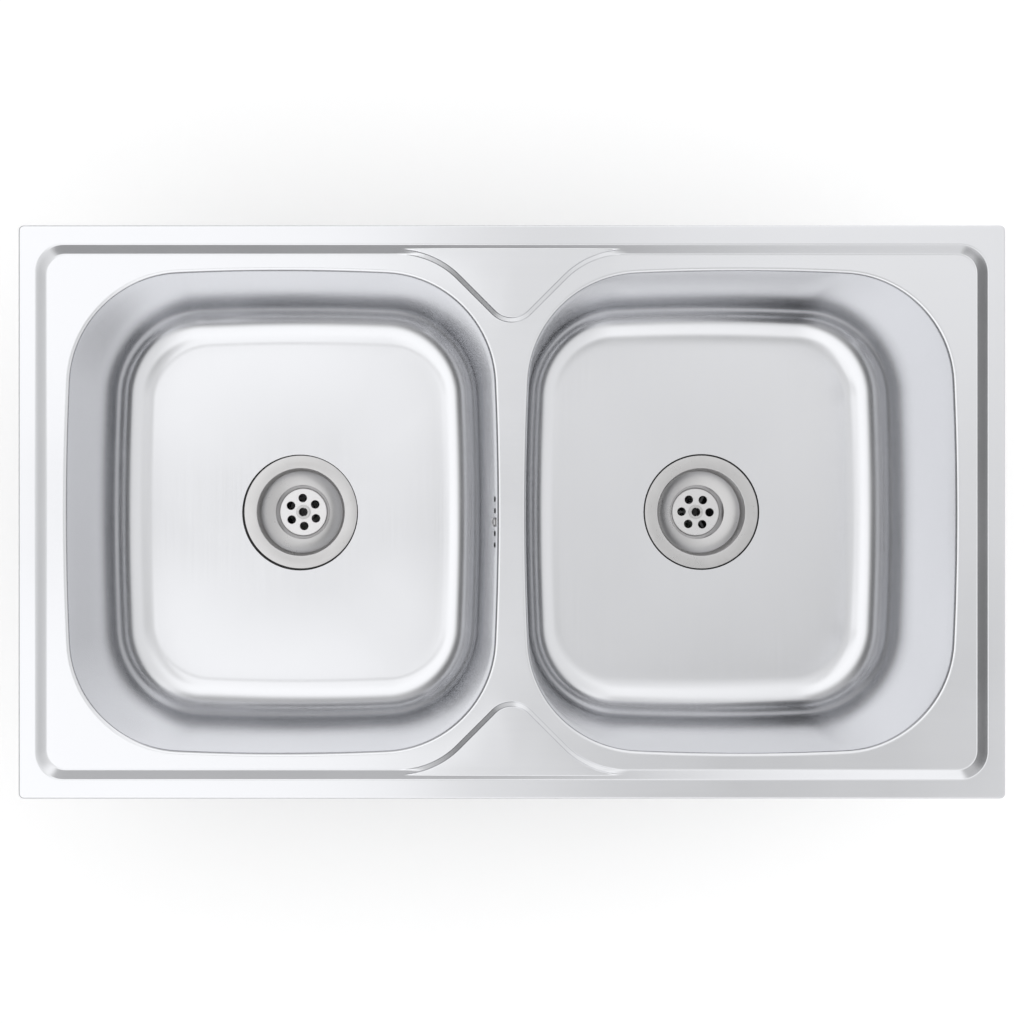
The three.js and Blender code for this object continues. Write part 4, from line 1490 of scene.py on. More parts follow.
@dataclass
class StrainerWaste:
    """A strainer waste: cup, seal, sieve plate, hollow bolt, insert, gasket and body."""

    side: str
    x: float
    z: float
    plate_turn: float
    seat_shift: Point = (0.0, 0.0)
    flange: float = 56.6 * MM
    mouth: float = 43.9 * MM
    shoulder: float = 41.4 * MM
    shoulder_depth: float = 11 * MM
    dish: float = 27.2 * MM
    dish_depth: float = 18.5 * MM
    dish_bow: float = 0.25
    ledge_depth: float = 26 * MM
    ledge_width: float = 5 * MM
    cup_sheet: float = 1 * MM
    plate_radius: float = 23.8 * MM
    plate_thickness: float = 1.2 * MM
    hole: float = 4.3 * MM
    hole_circle: float = 14.3 * MM
    hole_count: int = 6
    punch_roll: float = 0.35 * MM
    head: float = 7.2 * MM
    head_height: float = 1.6 * MM
    shank: float = 5.6 * MM
    shank_length: float = 15.5 * MM
    bore: float = 4.4 * MM
    bore_depth: float = 12 * MM
    slot_width: float = 1.6 * MM
    slot_reach: float = 5.7 * MM
    slot_depth: float = 0.5 * MM
    seal_thickness: float = 1.8 * MM
    seal_proud: float = 0.8 * MM
    seal_width: float = 12 * MM
    gasket: tuple[float, float, float] = (47 * MM, 57.5 * MM, 2.5 * MM)
    gasket_edge: float = 0.6 * MM
    cup_fold: float = 0.8 * MM
    lip_gap: float = 0.1 * MM
    lip_drop: float = 0.25 * MM
    seal_edge: float = 0.25 * MM
    slot_edge: float = 0.25 * MM
    slot_corner: float = 0.9
    core: float = 0.4 * MM
    bolt_edge: float = 0.35 * MM
    tooth: float = 0.7 * MM
    tooth_edge: float = 0.2 * MM
    tooth_drop: float = 0.3 * MM
    tooth_sink: float = 0.1 * MM
    tooth_turns: Point = (80, 280)
    tooth_turn: int = 16
    # Painted shade in the bolt's bore: from this far below the head's top, out to this far past the
    # bore.
    shade_mark_drop: float = 0.9 * MM
    shade_mark_reach: float = 0.2 * MM
    insert_wall: float = 2 * MM
    insert_collar: float = 9.6 * MM
    insert_drop: float = 1.5 * MM
    insert_length: float = 13.5 * MM
    insert_edge: float = 0.2 * MM
    collar_height: float = 0.8 * MM
    hole_turn: int = 40

    def __post_init__(self) -> None:
        """Works out the heights of the seat and of the plate's top face."""
        self.place = shift(self.x, 0, self.z)
        self.seat = -self.seal_thickness - self.cup_sheet
        self.plate_top = -self.ledge_depth + self.plate_thickness

    def cup_path(self) -> list[Point]:
        """The cup's upper face from the flange's edge to its inner ledge.

        Returns:
            The points in order, as (radius, z).
        """
        steps = 12
        path = [(self.flange, 0.0), (self.mouth, 0.0), (self.shoulder, -self.shoulder_depth)]
        for i in range(1, steps + 1):
            along = i / steps
            quarter = along * math.pi / 2
            inward = (1 - self.dish_bow) * along + self.dish_bow * (1 - math.cos(quarter))
            down = (1 - self.dish_bow) * along + self.dish_bow * math.sin(quarter)
            path.append((
                self.shoulder - inward * (self.shoulder - self.dish),
                -self.shoulder_depth - down * (self.dish_depth - self.shoulder_depth),
            ))
        inner = self.plate_radius + FIT_GAP
        path += [(inner, -self.ledge_depth), (inner - self.ledge_width, -self.ledge_depth)]
        return rounded(path, self.cup_fold, 4, closed=False)

    def cup(self) -> Piece:
        """The pressed cup with its flange.

        Returns:
            The cup, in the waste's own frame.
        """
        edge, steps = self.cup_sheet / 2, 4
        start = self.flange - edge
        upper = arc((start, -edge), edge, 0, math.pi / 2, steps) + self.cup_path()[1:]
        under = parallel(upper[steps + 1:], -self.cup_sheet)[::-1]
        under = [p for p in under if p[0] < start] + [(start, -self.cup_sheet)]
        return turned("cup", upper + under)

    def seal(self) -> Piece:
        """The rubber ring under the flange, with a thin lip round the flange's edge.

        Returns:
            The ring, in the waste's own frame.
        """
        outer = self.flange + self.seal_proud
        inner = outer - self.seal_width
        low, high = self.seat, self.seat + self.seal_thickness
        lip, lip_top = self.flange + self.lip_gap, -self.lip_drop
        section = [(inner, low), (outer, low), (outer, lip_top)]
        section += [(lip, lip_top), (lip, high), (inner, high)]
        made = turned("seal", rounded(section, self.seal_edge, 3))
        return moved(made, shift(*self.seat_shift))

    def hole_centres(self) -> np.ndarray:
        """The middles of the sieve plate's outer holes."""
        turns = self.plate_turn + np.arange(self.hole_count) * 2 * math.pi / self.hole_count
        return self.hole_circle * np.column_stack([np.cos(turns), np.sin(turns)])

    def plate_height(self, flat: np.ndarray) -> np.ndarray:
        """The plate's top face over each plane point: flat, and rolled down at its edges.

        Args:
            flat: plane points, as an array of (x, y) rows.

        Returns:
            A height for each point.
        """
        steepest = 0.98
        gaps = np.linalg.norm(flat[:, None] - self.hole_centres(), axis=2) - self.hole
        radius = np.linalg.norm(flat, axis=1)
        nearest = np.minimum(gaps.min(1), self.plate_radius - radius)
        depth = np.clip(1 - nearest / self.punch_roll, 0, steepest)
        return self.plate_top - self.punch_roll * (1 - np.sqrt(1 - depth**2))

    def sieve_plate(self) -> Piece:
        """The disc with its ring of holes, as one closed sheet.

        Returns:
            The disc, in the waste's own frame.
        """
        edge = circle(self.plate_radius, FINE_TURN)
        centres = self.hole_centres()
        holes = [circle(self.hole, self.hole_turn) + centre for centre in centres]
        holes.append(circle(self.shank + FIT_GAP, self.hole_turn))
        lines = []
        for roll in (0.1, 0.3, 0.6, 1.0):
            grown = circle(self.hole + roll * self.punch_roll, self.hole_turn)
            lines += [np.concatenate([grown, grown[:1]]) + centre for centre in centres]
            rim = circle(self.plate_radius - roll * self.punch_roll, FINE_TURN)
            lines.append(np.concatenate([rim, rim[:1]]))
        flat, triangles, borders = PlanSheet(edge, holes, lines).triangles()
        count = len(flat)
        upper = np.column_stack([flat, self.plate_height(flat)])
        lower = at_level(flat, -self.ledge_depth)
        faces = sheet_faces(triangles, borders, count)
        made = mesh_object("sieve", np.concatenate([upper, lower]), faces)
        normals = slope_normals(self.plate_height, flat)
        set_normals(made.data, normals, len(triangles))
        return made

    def bolt(self) -> Piece:
        """The hollow bolt with its slotted head, and painted shade inside its bore.

        Returns:
            The bolt, in the waste's own frame.
        """
        base, top = self.plate_top, self.plate_top + self.head_height
        end, bore_foot = base - self.shank_length, top - self.bore_depth
        outline = [(self.core, end), (self.shank, end), (self.shank, base), (self.head, base)]
        outline += [(self.head, top), (self.bore, top)]
        outline += [(self.bore, bore_foot), (self.core, bore_foot)]
        made = turned("bolt", rounded(outline, self.bolt_edge, 4), ROUND_TURN)
        half, reach = self.slot_width / 2, self.slot_reach
        outline = rounded(rectangle(-reach, -half, reach, half), half * self.slot_corner, steps=5)
        cutter = plate("slot", outline, CUT, self.slot_edge)
        combine(made, [moved(cutter, shift(z=top - self.slot_depth))], "DIFFERENCE")
        teeth = []
        for angle in self.tooth_turns:
            ends = (bore_foot, top - self.tooth_drop)
            tooth = rod("tooth", self.tooth, *ends, self.tooth_edge, self.tooth_turn)
            teeth.append(moved(tooth, turn(angle, "Z") @ shift(x=self.bore + self.tooth_sink)))
        combine(made, teeth, "UNION")
        # Painted shade: the bore's inside below the head shows nearly black.
        deep, near = top - self.shade_mark_drop, self.bore + self.shade_mark_reach
        return mark_painted_shade(made, lambda p: p.z < deep and math.hypot(p.x, p.y) < near)

    def insert(self) -> Piece:
        """The brass nut in the body's hub.

        Returns:
            The nut, in the waste's own frame.
        """
        bore = self.shank + FIT_GAP
        outer, collar = bore + self.insert_wall, self.insert_collar
        top = -self.ledge_depth - self.cup_sheet - self.insert_drop
        foot, rim = top - self.insert_length, top + self.collar_height
        outline = [(bore, foot), (outer, foot), (outer, top)]
        outline += [(collar, top), (collar, rim), (bore, rim)]
        return turned("insert", rounded(outline, self.insert_edge, 2), MEDIUM_TURN)

    def body_gasket(self) -> Piece:
        """The gasket between the bowl and the body.

        Returns:
            The gasket, in the waste's own frame.
        """
        inner, outer, thickness = self.gasket
        top = self.seat - SHEET
        section = rectangle(inner, top - thickness, outer, top)
        return turned("gasket", rounded(section, self.gasket_edge))

    def body(self) -> Piece:
        """The moulded body: shell, ribbed hub, threaded outlet and, on the left, the inlet."""
        return WasteBody(self.seat - SHEET - self.gasket[2], self.side == "left").build()

    def build(self) -> None:
        """Makes all seven pieces and puts them in their places."""
        pieces = {
            "strainer_cup": (self.cup, CUP_STEEL),
            "flange_seal": (self.seal, RUBBER),
            "sieve_plate": (self.sieve_plate, PLATE_STEEL),
            "centre_bolt": (self.bolt, CUP_STEEL),
            "threaded_insert": (self.insert, BRASS),
            "body_gasket": (self.body_gasket, RUBBER),
            "waste_body": (self.body, PLASTIC),
        }
        for label, (make, finish) in pieces.items():
            fit(moved(make(), self.place), f"{self.side}_{label}", finish)


@dataclass(frozen=True)
class WasteBody:
    """The moulded body under a bowl, in the waste's own frame."""

    top: float
    has_inlet: bool
    flange: float = 58 * MM
    flange_height: float = 3.9 * MM
    wall: float = 3.2 * MM
    inner: float = 46.8 * MM
    cup_depth: float = 25.4 * MM
    funnel: float = 15.5 * MM
    outlet_bore: float = 19.5 * MM
    outlet: float = 23.9 * MM
    outlet_length: float = 27 * MM
    thread_pitch: float = 3 * MM
    thread_depth: float = 0.9 * MM
    hub_bore: float = 8.2 * MM
    hub: float = 11.4 * MM
    hub_top: float = -28.5 * MM
    hub_height: float = 13.5 * MM
    rib_height: float = 10 * MM
    rib_drop: float = 2.5 * MM
    rib_thickness: float = 3 * MM
    rib_count: int = 3
    grip_count: int = 24
    grip_depth: float = 1.2 * MM
    spigot: float = 8.4 * MM
    spigot_bore: float = 6.8 * MM
    inlet_drop: float = 20 * MM
    inlet_reach: float = 78 * MM
    edge: float = 0.4 * MM
    shell_edge: float = 0.5 * MM
    thread_free: float = 6 * MM
    thread_root: float = 0.35
    thread_crest: float = 0.1
    grip_start: float = 7.5
    rib_start: float = 60
    rib_sink: float = 1.4 * MM
    barb_height: float = 0.6 * MM
    barb_levels: tuple[float, ...] = (-1.6 * MM, -0.4 * MM, 0.0, 0.2 * MM)
    barb_setback: float = 4 * MM
    barb_pitch: float = 5 * MM
    barb_count: int = 3

    def shell(self) -> Piece:
        """The turned shell, with grips round its flange and a thread on its outlet.

        Returns:
            The shell, in the waste's own frame.
        """
        funnel_top = self.top - self.cup_depth
        funnel_foot = funnel_top - self.funnel
        end = funnel_foot - self.outlet_length
        outer = self.inner + self.wall
        shoulder = self.top - self.flange_height - self.wall
        outline = [
            (self.inner, self.top),
            (self.flange, self.top),
            (self.flange, self.top - self.flange_height),
            (outer, shoulder),
            (outer, funnel_top - self.wall / 2),
            (self.outlet, funnel_foot - self.wall / 2),
        ]
        pitch = self.thread_pitch
        for k in range(int((self.outlet_length - self.thread_free) / pitch)):
            crest = funnel_foot - self.wall - k * pitch - pitch / 2
            outline += [
                (self.outlet - self.thread_depth, crest + pitch * self.thread_root),
                (self.outlet, crest + pitch * self.thread_crest),
                (self.outlet, crest - pitch * self.thread_crest),
            ]
        outline += [
            (self.outlet - self.thread_depth, end),
            (self.outlet_bore, end),
            (self.outlet_bore, funnel_foot),
            (self.inner, funnel_top),
        ]
        return turned("waste_body", rounded(outline, self.shell_edge, 3))

    def grips(self) -> list[Piece]:
        """The ribs round the shell that a hand turns it by.

        Returns:
            The ribs, each a piece of its own.
        """
        outer = self.inner + self.wall
        low = self.top - self.cup_depth + self.wall
        high = self.top - self.flange_height
        made = []
        for k in range(self.grip_count):
            grip = rod("grip", self.grip_depth, low, high, self.edge, TOOTH_TURN)
            place = turn(k * 360 / self.grip_count + self.grip_start, "Z") @ shift(x=outer)
            made.append(moved(grip, place))
        return made

    def build(self) -> Piece:
        """The whole body as one closed mesh.

        Returns:
            The body, in the waste's own frame.
        """
        body = self.shell()
        section = rectangle(self.hub_bore, self.hub_top - self.hub_height, self.hub, self.hub_top)
        parts = [turned("hub", rounded(section, self.edge, 2), MEDIUM_TURN)]
        rib_top = self.hub_top - self.rib_drop
        ends = (self.hub - self.rib_sink, self.inner + self.wall / 2)
        for k in range(self.rib_count):
            outline = rectangle(ends[0], rib_top - self.rib_height, ends[1], rib_top)
            rib = plate("rib", outline, self.rib_thickness, self.edge)
            spin = turn(self.rib_start + k * 360 / self.rib_count, "Z")
            parts.append(moved(rib, spin @ turn(90, "X") @ shift(z=-self.rib_thickness / 2)))
        joined = combine(parts[0], parts[1:], "UNION")
        body = combine(body, [joined, *self.grips()], "UNION")
        if not self.has_inlet:
            return body
        lie = shift(z=-self.inlet_drop) @ turn(90, "Y")
        reach, start = self.inlet_reach, self.inner + self.wall / 2
        inlet = moved(rod("inlet", self.spigot, start, reach, self.shell_edge, MEDIUM_TURN), lie)
        last = reach - self.barb_setback
        barbs = [self.barb(last - k * self.barb_pitch, lie) for k in range(self.barb_count)]
        body = combine(body, [inlet, *barbs], "UNION")
        start, end = self.inner - self.wall, reach + 2 * PAST
        bore = moved(rod("bore", self.spigot_bore, start, end, BORE_EDGE, MEDIUM_TURN), lie)
        return combine(body, [bore], "DIFFERENCE")

    def barb(self, along: float, lie: Matrix) -> Piece:
        """One ring on the inlet that holds the hose.

        Args:
            along: where the ring's crest ends along the inlet.
            lie: what lays the inlet's axis down.

        Returns:
            The ring, in the waste's own frame.
        """
        low, high = self.spigot - self.barb_height, self.spigot + self.barb_height
        levels = [along + level for level in self.barb_levels]
        section = list(zip((low, high, high, low), levels, strict=True))
        return moved(turned("barb", section, MEDIUM_TURN), lie)


# ---------------------------------------------------------------- the overflow


@dataclass
class Overflow:
    """The overflow in the left bowl's right wall: slots, seal, housing, screw, hose and clips."""

    bowl: Bowl
    waste: StrainerWaste
    y: float = -9 * MM
    drop: float = 15 * MM
    slot_count: int = 5
    slot_pitch: float = 10.2 * MM
    slot_width: float = 4.6 * MM
    slot_height: float = 10 * MM
    screw: float = 1.8 * MM
    screw_length: float = 12 * MM
    screw_head: float = 4.2 * MM
    screw_head_height: float = 2 * MM
    seal_thickness: float = 1.8 * MM
    seal_width: float = 4 * MM
    half_length: float = 30 * MM
    above: float = 13 * MM
    below: float = 16 * MM
    depth: float = 20.5 * MM
    wall: float = 2 * MM
    corner: float = 5 * MM
    boss: float = 4 * MM
    spigot: float = 8.4 * MM
    spigot_bore: float = 6.8 * MM
    spigot_length: float = 24 * MM
    spigot_offset: float = 14 * MM
    hose_start: float = 4 * MM
    hose_overlap: float = 20 * MM
    hose_rib: float = 12 * MM
    hose_groove: float = 10.8 * MM
    hose_bore: float = 9.4 * MM
    hose_pitch: float = 8 * MM
    hose_bend: float = 48 * MM
    hose_sway: tuple[float, float, float] = (0.8, 0.5, 0.2)
    rib_steps: int = 6
    clip_width: float = 9 * MM
    clip_band: float = 0.8 * MM
    clip_setback: float = 4 * MM
    clip_box: tuple[float, float, float] = (5 * MM, 11 * MM, 7 * MM)
    clip_box_corner: float = 1.5 * MM
    clip_box_edge: float = 0.5 * MM
    clip_box_sink: float = 0.4 * MM
    clip_edge: float = 0.2 * MM
    notch: Point = (1 * MM, 4.8 * MM)
    notch_depth: float = 3 * MM
    notch_step: float = 9
    notch_reach: int = 9
    notch_sink: float = 0.3 * MM
    slot_crease: float = 30
    hose_crease: float = 60
    boss_edge: float = 0.3 * MM
    spigot_edge: float = 0.4 * MM
    least_corner: float = 0.5 * MM
    round_edge: float = 2.2 * MM
    head_rim: float = 0.35
    dome_drop: float = 1.1
    dome_edge: float = 0.8
    dome_turns: Point = (0.95, 1.56)
    cross: Point = (4.4 * MM, 0.7 * MM)
    cross_level: float = 1.1 * MM
    cross_turns: Point = (45, 135)
    screw_pitch: float = 0.7 * MM
    screw_thread: float = 0.2 * MM

    def __post_init__(self) -> None:
        """Works out the frame on the outside of the wall: +X out of the bowl, Z up the wall."""
        bowl = self.bowl
        z = bowl.deck - self.drop
        run = (bowl.under - z) * math.tan(bowl.draft)
        x = bowl.centre_x + bowl.outline.half_x - run + SHEET / math.cos(bowl.draft)
        self.place = shift(x, self.y, z) @ Matrix.Rotation(bowl.draft, 4, "Y")
        self.seal_face = FIT_GAP
        self.face = self.seal_face + self.seal_thickness + FIT_GAP

    def upright(self, made: Piece, x: float) -> Piece:
        """Stands a flat piece against the wall, with its thickness from x outwards."""
        return moved(made, shift(x=x) @ turn(90, "Z") @ turn(90, "X"))

    def cut_slots(self, bowl: Piece) -> None:
        """Cuts the four slots and the screw's hole out of the left bowl.

        Args:
            bowl: the left bowl, in the part's own frame.
        """
        half, straight = self.slot_width / 2, self.slot_height / 2 - self.slot_width / 2
        outline = arc((0, straight), half, 0, math.pi, steps=12)
        outline += arc((0, -straight), half, math.pi, 2 * math.pi, steps=12)
        middle = (self.slot_count - 1) / 2
        tools = []
        for i in range(self.slot_count):
            if i == middle:
                hole = rod("hole", self.screw + FIT_GAP, -CUT, CUT, CUT_EDGE, PIN_TURN)
                tools.append(moved(hole, self.place @ turn(90, "Y")))
                continue
            slot = self.upright(plate("slot", outline, 2 * CUT, CUT_EDGE), -CUT)
            tools.append(moved(slot, self.place @ shift(y=(i - middle) * self.slot_pitch)))
        combine(bowl, tools, "DIFFERENCE", self.slot_crease)

    def box_outline(self, inset: float) -> list[Point]:
        """The housing's outline seen from outside, as (along, up) points, drawn in by inset.

        Args:
            inset: how far the outline is drawn in.

        Returns:
            The outline's points in order.
        """
        half = self.half_length - inset
        corners = rectangle(-half, -self.below + inset, half, self.above - inset)
        corner = self.corner - min(inset, self.corner - self.least_corner)
        return rounded(corners, corner, steps=6)

    def seal(self) -> Piece:
        """The rubber frame between the wall and the housing.

        Returns:
            The frame, in the overflow's own frame.
        """
        outer, inner = np.array(self.box_outline(0)), np.array(self.box_outline(self.seal_width))
        levels = ((inner, 0.0), (outer, 0.0), (outer, self.seal_thickness))
        levels += ((inner, self.seal_thickness),)
        points, faces = skin([at_level(loop, z) for loop, z in levels], closed=True)
        return self.upright(mesh_object("overflow_seal", points, faces), self.seal_face)

    def housing(self) -> Piece:
        """The moulded box behind the slots, with its spigot and screw boss.

        Returns:
            The box, in the overflow's own frame.
        """
        edge = self.round_edge
        outer = [at_level(np.array(self.box_outline(0)), 0)]
        for inset, up in arc((edge, self.depth - edge), edge, math.pi, math.pi / 2, steps=5):
            outer.append(at_level(np.array(self.box_outline(inset)), up))
        inside_loop = np.array(self.box_outline(self.wall))
        inner = [at_level(inside_loop, z) for z in (-PAST, self.depth - self.wall)]
        shell = mesh_object("overflow_housing", *skin(outer, closed=False))
        hollow = mesh_object("hollow", *skin(inner, closed=False))
        shell = self.upright(shell, self.face)
        combine(shell, [self.upright(hollow, self.face)], "DIFFERENCE")
        along_x, beside = turn(90, "Y"), shift(x=self.spigot_offset)
        boss_end = self.face + self.depth - self.wall / 2
        boss = moved(rod("boss", self.boss, self.face, boss_end, self.boss_edge), along_x)
        end, root = -self.below - self.spigot_length, -self.below + self.wall
        spigot = rod("spigot", self.spigot, end, root, self.spigot_edge, MEDIUM_TURN)
        combine(shell, [boss, moved(spigot, beside)], "UNION")
        bore = rod("bore", self.spigot_bore, end - PAST, root + PAST, BORE_EDGE, MEDIUM_TURN)
        start, end = self.face - PAST, self.screw_length + FIT_GAP
        screw_bore = rod("screw_bore", self.screw + FIT_GAP, start, end, CUT_EDGE)
        return combine(shell, [moved(bore, beside), moved(screw_bore, along_x)], "DIFFERENCE")

    def screw_piece(self) -> Piece:
        """The screw that holds the housing: a domed head with a cross, and its thread.

        Returns:
            The screw, in the overflow's own frame.
        """
        seat = -SHEET - FIT_GAP
        head, high = self.screw_head, self.screw_head_height
        drop = head * self.dome_drop
        outline = [(CUT_EDGE, 0), (head, 0), (head, high * self.head_rim)]
        dome = math.hypot(head * self.dome_edge, high + drop)
        outline += arc((0, -drop), dome, *self.dome_turns, steps=8)
        made = turned("overflow_screw", outline, MEDIUM_TURN)
        blades = []
        for angle in self.cross_turns:
            blade = plate("blade", centred(self.cross), CUT, CUT_EDGE)
            blades.append(moved(blade, turn(angle, "Z") @ shift(z=self.cross_level)))
        combine(made, blades, "DIFFERENCE")
        moved(made, shift(x=seat) @ turn(-90, "Y"))
        ends = (seat - PAST, self.screw_length)
        shank = threaded_rod("thread", self.screw, *ends, self.screw_pitch, self.screw_thread)
        return combine(made, [moved(shank, turn(90, "Y"))], "UNION")

    def route(self) -> np.ndarray:
        """The hose's centre line: down between the bowls and under the left bowl's floor.

        Returns:
            The line's points in order, evenly apart.
        """
        down = self.place.to_3x3() @ Vector((0, 0, -1))
        start = self.place @ Vector((self.spigot_offset, 0, -self.below - self.hose_start))
        inlet_z = self.waste.z - WasteBody.inlet_drop
        end = Vector((self.waste.x + WasteBody.inlet_reach - self.hose_overlap, 0, inlet_z))
        sway = [start.y * share for share in self.hose_sway]
        lead = self.spigot_length
        bend_top = inlet_z + self.hose_bend
        first = start + down * lead
        half = self.hose_bend * (1 - math.sqrt(0.5))
        points = [
            start,
            start + down * (lead / 2),
            first,
            Vector((first.x / 2, start.y, (first.z + bend_top) / 2)),
            Vector((0, sway[0], bend_top)),
            Vector((-half, sway[1], inlet_z + half)),
            Vector((-self.hose_bend, sway[2], inlet_z)),
            end + Vector((lead + self.hose_rib, 0, 0)),
            end + Vector((lead / 2, 0, 0)),
            end,
        ]
        return centripetal_curve([np.array(p) for p in points], steps=40)

    def hose(self) -> Piece:
        """The ribbed hose with its bore.

        Returns:
            The hose, in the part's own frame.
        """
        line = self.route()
        lengths = np.concatenate([[0], np.cumsum(np.linalg.norm(np.diff(line, axis=0), axis=1))])
        ribs = round(lengths[-1] / self.hose_pitch / 2) * 2
        steps = ribs * self.rib_steps
        stations = np.linspace(0, lengths[-1], steps + 1)
        centres = np.column_stack([np.interp(stations, lengths, line[:, k]) for k in range(3)])
        waves = 0.5 - 0.5 * np.cos(np.arange(steps + 1) / self.rib_steps * 2 * math.pi)
        radii = self.hose_groove + (self.hose_rib - self.hose_groove) * np.sqrt(waves)
        outer = tube_rings(centres, radii, SMALL_TURN)
        inner = tube_rings(centres[::3], np.full(len(centres[::3]), self.hose_bore), SMALL_TURN)
        points, faces = skin([*outer, *inner[::-1]], closed=True)
        return mesh_object("overflow_hose", points, faces, self.hose_crease)

    def clip(self) -> Piece:
        """A worm-drive hose clip round the Z axis, with its screw housing towards +X.

        Returns:
            The clip, at the origin.
        """
        inner = self.hose_rib + FIT_GAP
        outer = inner + self.clip_band
        half = self.clip_width / 2
        section = rounded(rectangle(inner, -half, outer, half), self.clip_edge, 2)
        band = turned("hose_clip", section, ROUND_TURN)
        depth, length, height = self.clip_box
        loop = rounded(rectangle(0, -length / 2, depth, length / 2), self.clip_box_corner, 4)
        tunnel = plate("tunnel", loop, height, self.clip_box_edge)
        moved(tunnel, shift(x=outer - self.clip_box_sink, z=-height / 2))
        notches = []
        for k in range(-self.notch_reach, self.notch_reach + 1):
            notch = plate("notch", centred(self.notch), self.notch_depth, BORE_EDGE)
            spin = turn(180 + k * self.notch_step, "Z")
            place = spin @ shift(x=outer - self.notch_sink) @ turn(90, "Y")
            notches.append(moved(notch, place @ turn(90, "Z")))
        combine(band, notches, "DIFFERENCE")
        return combine(band, [tunnel], "UNION")

    def build(self) -> None:
        """Makes the overflow's pieces and puts them in their places."""
        fit(moved(self.seal(), self.place), "overflow_seal", RUBBER)
        fit(moved(self.housing(), self.place), "overflow_housing", PLASTIC)
        fit(moved(self.screw_piece(), self.place), "overflow_screw", CUP_STEEL)
        fit(self.hose(), "overflow_hose", PLASTIC)
        setback = self.clip_setback + self.clip_width / 2
        upper_z = -self.below - self.hose_start - setback
        upper = shift(self.spigot_offset, 0, upper_z) @ turn(-90, "Z")
        fit(moved(self.clip(), self.place @ upper), "upper_hose_clip", ZINC)
        lower_x = self.waste.x + WasteBody.inlet_reach - self.hose_overlap + setback
        lower = shift(lower_x, 0, self.waste.z - WasteBody.inlet_drop) @ turn(90, "Y")
        fit(moved(self.clip(), lower), "lower_hose_clip", ZINC)


def centripetal_curve(points: Sequence[np.ndarray], steps: int) -> np.ndarray:
    """A smooth curve through points, evenly tense at close and at wide spacings.

    Args:
        points: what the curve passes through.
        steps: steps between each pair.

    Returns:
        The curve's points.
    """
    before = 2 * points[0] - points[1]
    after = 2 * points[-1] - points[-2]
    padded = [before, *points, after]
    line = [points[0]]
    for i in range(len(points) - 1):
        p0, p1, p2, p3 = padded[i:i + 4]
        d0, d1, d2 = (math.sqrt(np.linalg.norm(b - a)) for a, b in ((p0, p1), (p1, p2), (p2, p3)))
        t1 = ((p1 - p0) / d0 - (p2 - p0) / (d0 + d1) + (p2 - p1) / d1) * d1
        t2 = ((p2 - p1) / d1 - (p3 - p1) / (d1 + d2) + (p3 - p2) / d2) * d1
        for k in range(1, steps + 1):
            t = k / steps
            line.append(
                p1
                + t1 * t
                + (-3 * p1 + 3 * p2 - 2 * t1 - t2) * t**2
                + (2 * p1 - 2 * p2 + t1 + t2) * t**3
            )
    return np.array(line)


def tube_rings(centres: np.ndarray, radii: np.ndarray, count: int) -> list[np.ndarray]:
    """Rings square to a line, which don't twist along it.

    Args:
        centres: the line's points.
        radii: the ring's radius at each.
        count: points round a ring.

    Returns:
        The rings.
    """
    tangents = np.gradient(centres, axis=0)
    tangents /= np.linalg.norm(tangents, axis=1, keepdims=True)
    side = np.array([0.0, 1.0, 0.0])
    rings = []
    for centre, tangent, radius in zip(centres, tangents, radii, strict=True):
        side = side - tangent * (side @ tangent)
        side /= np.linalg.norm(side)
        other = np.cross(tangent, side)
        flat = circle(radius, count)
        rings.append(centre + flat[:, :1] * side + flat[:, 1:] * other)
    return rings


def threaded_rod(
    name: str, radius: float, start: float, end: float, pitch: float, depth: float
) -> Piece:
    """A rod along Z with a screw thread cut into it.

    Args:
        name: the piece's name.
        radius: over the thread's crests.
        start: its lower end.
        end: its upper end.
        pitch: the thread's pitch.
        depth: how deep the thread is.

    Returns:
        The object.
    """
    count, pitch_steps = 20, 6
    end_share, end_radius = 0.3, 0.75
    rings = []
    levels = np.arange(start, end, pitch / pitch_steps)
    turns = np.arange(count) / count
    for z in [*levels, end]:
        phase = (z / pitch - turns) % 1
        notch = np.abs(phase - 0.5) * 2
        taper = min(1.0, (end - z) / pitch + end_share, (z - start) / pitch + end_share)
        crest = radius * (end_radius + (1 - end_radius) * taper)
        loop = circle(1.0, count) * (crest - depth * notch)[:, None]
        rings.append(at_level(loop, z))
    points, faces = skin(rings, closed=False)
    return mesh_object(name, points, faces, THREAD_CREASE)


# ---------------------------------------------------------------- the worktop clips


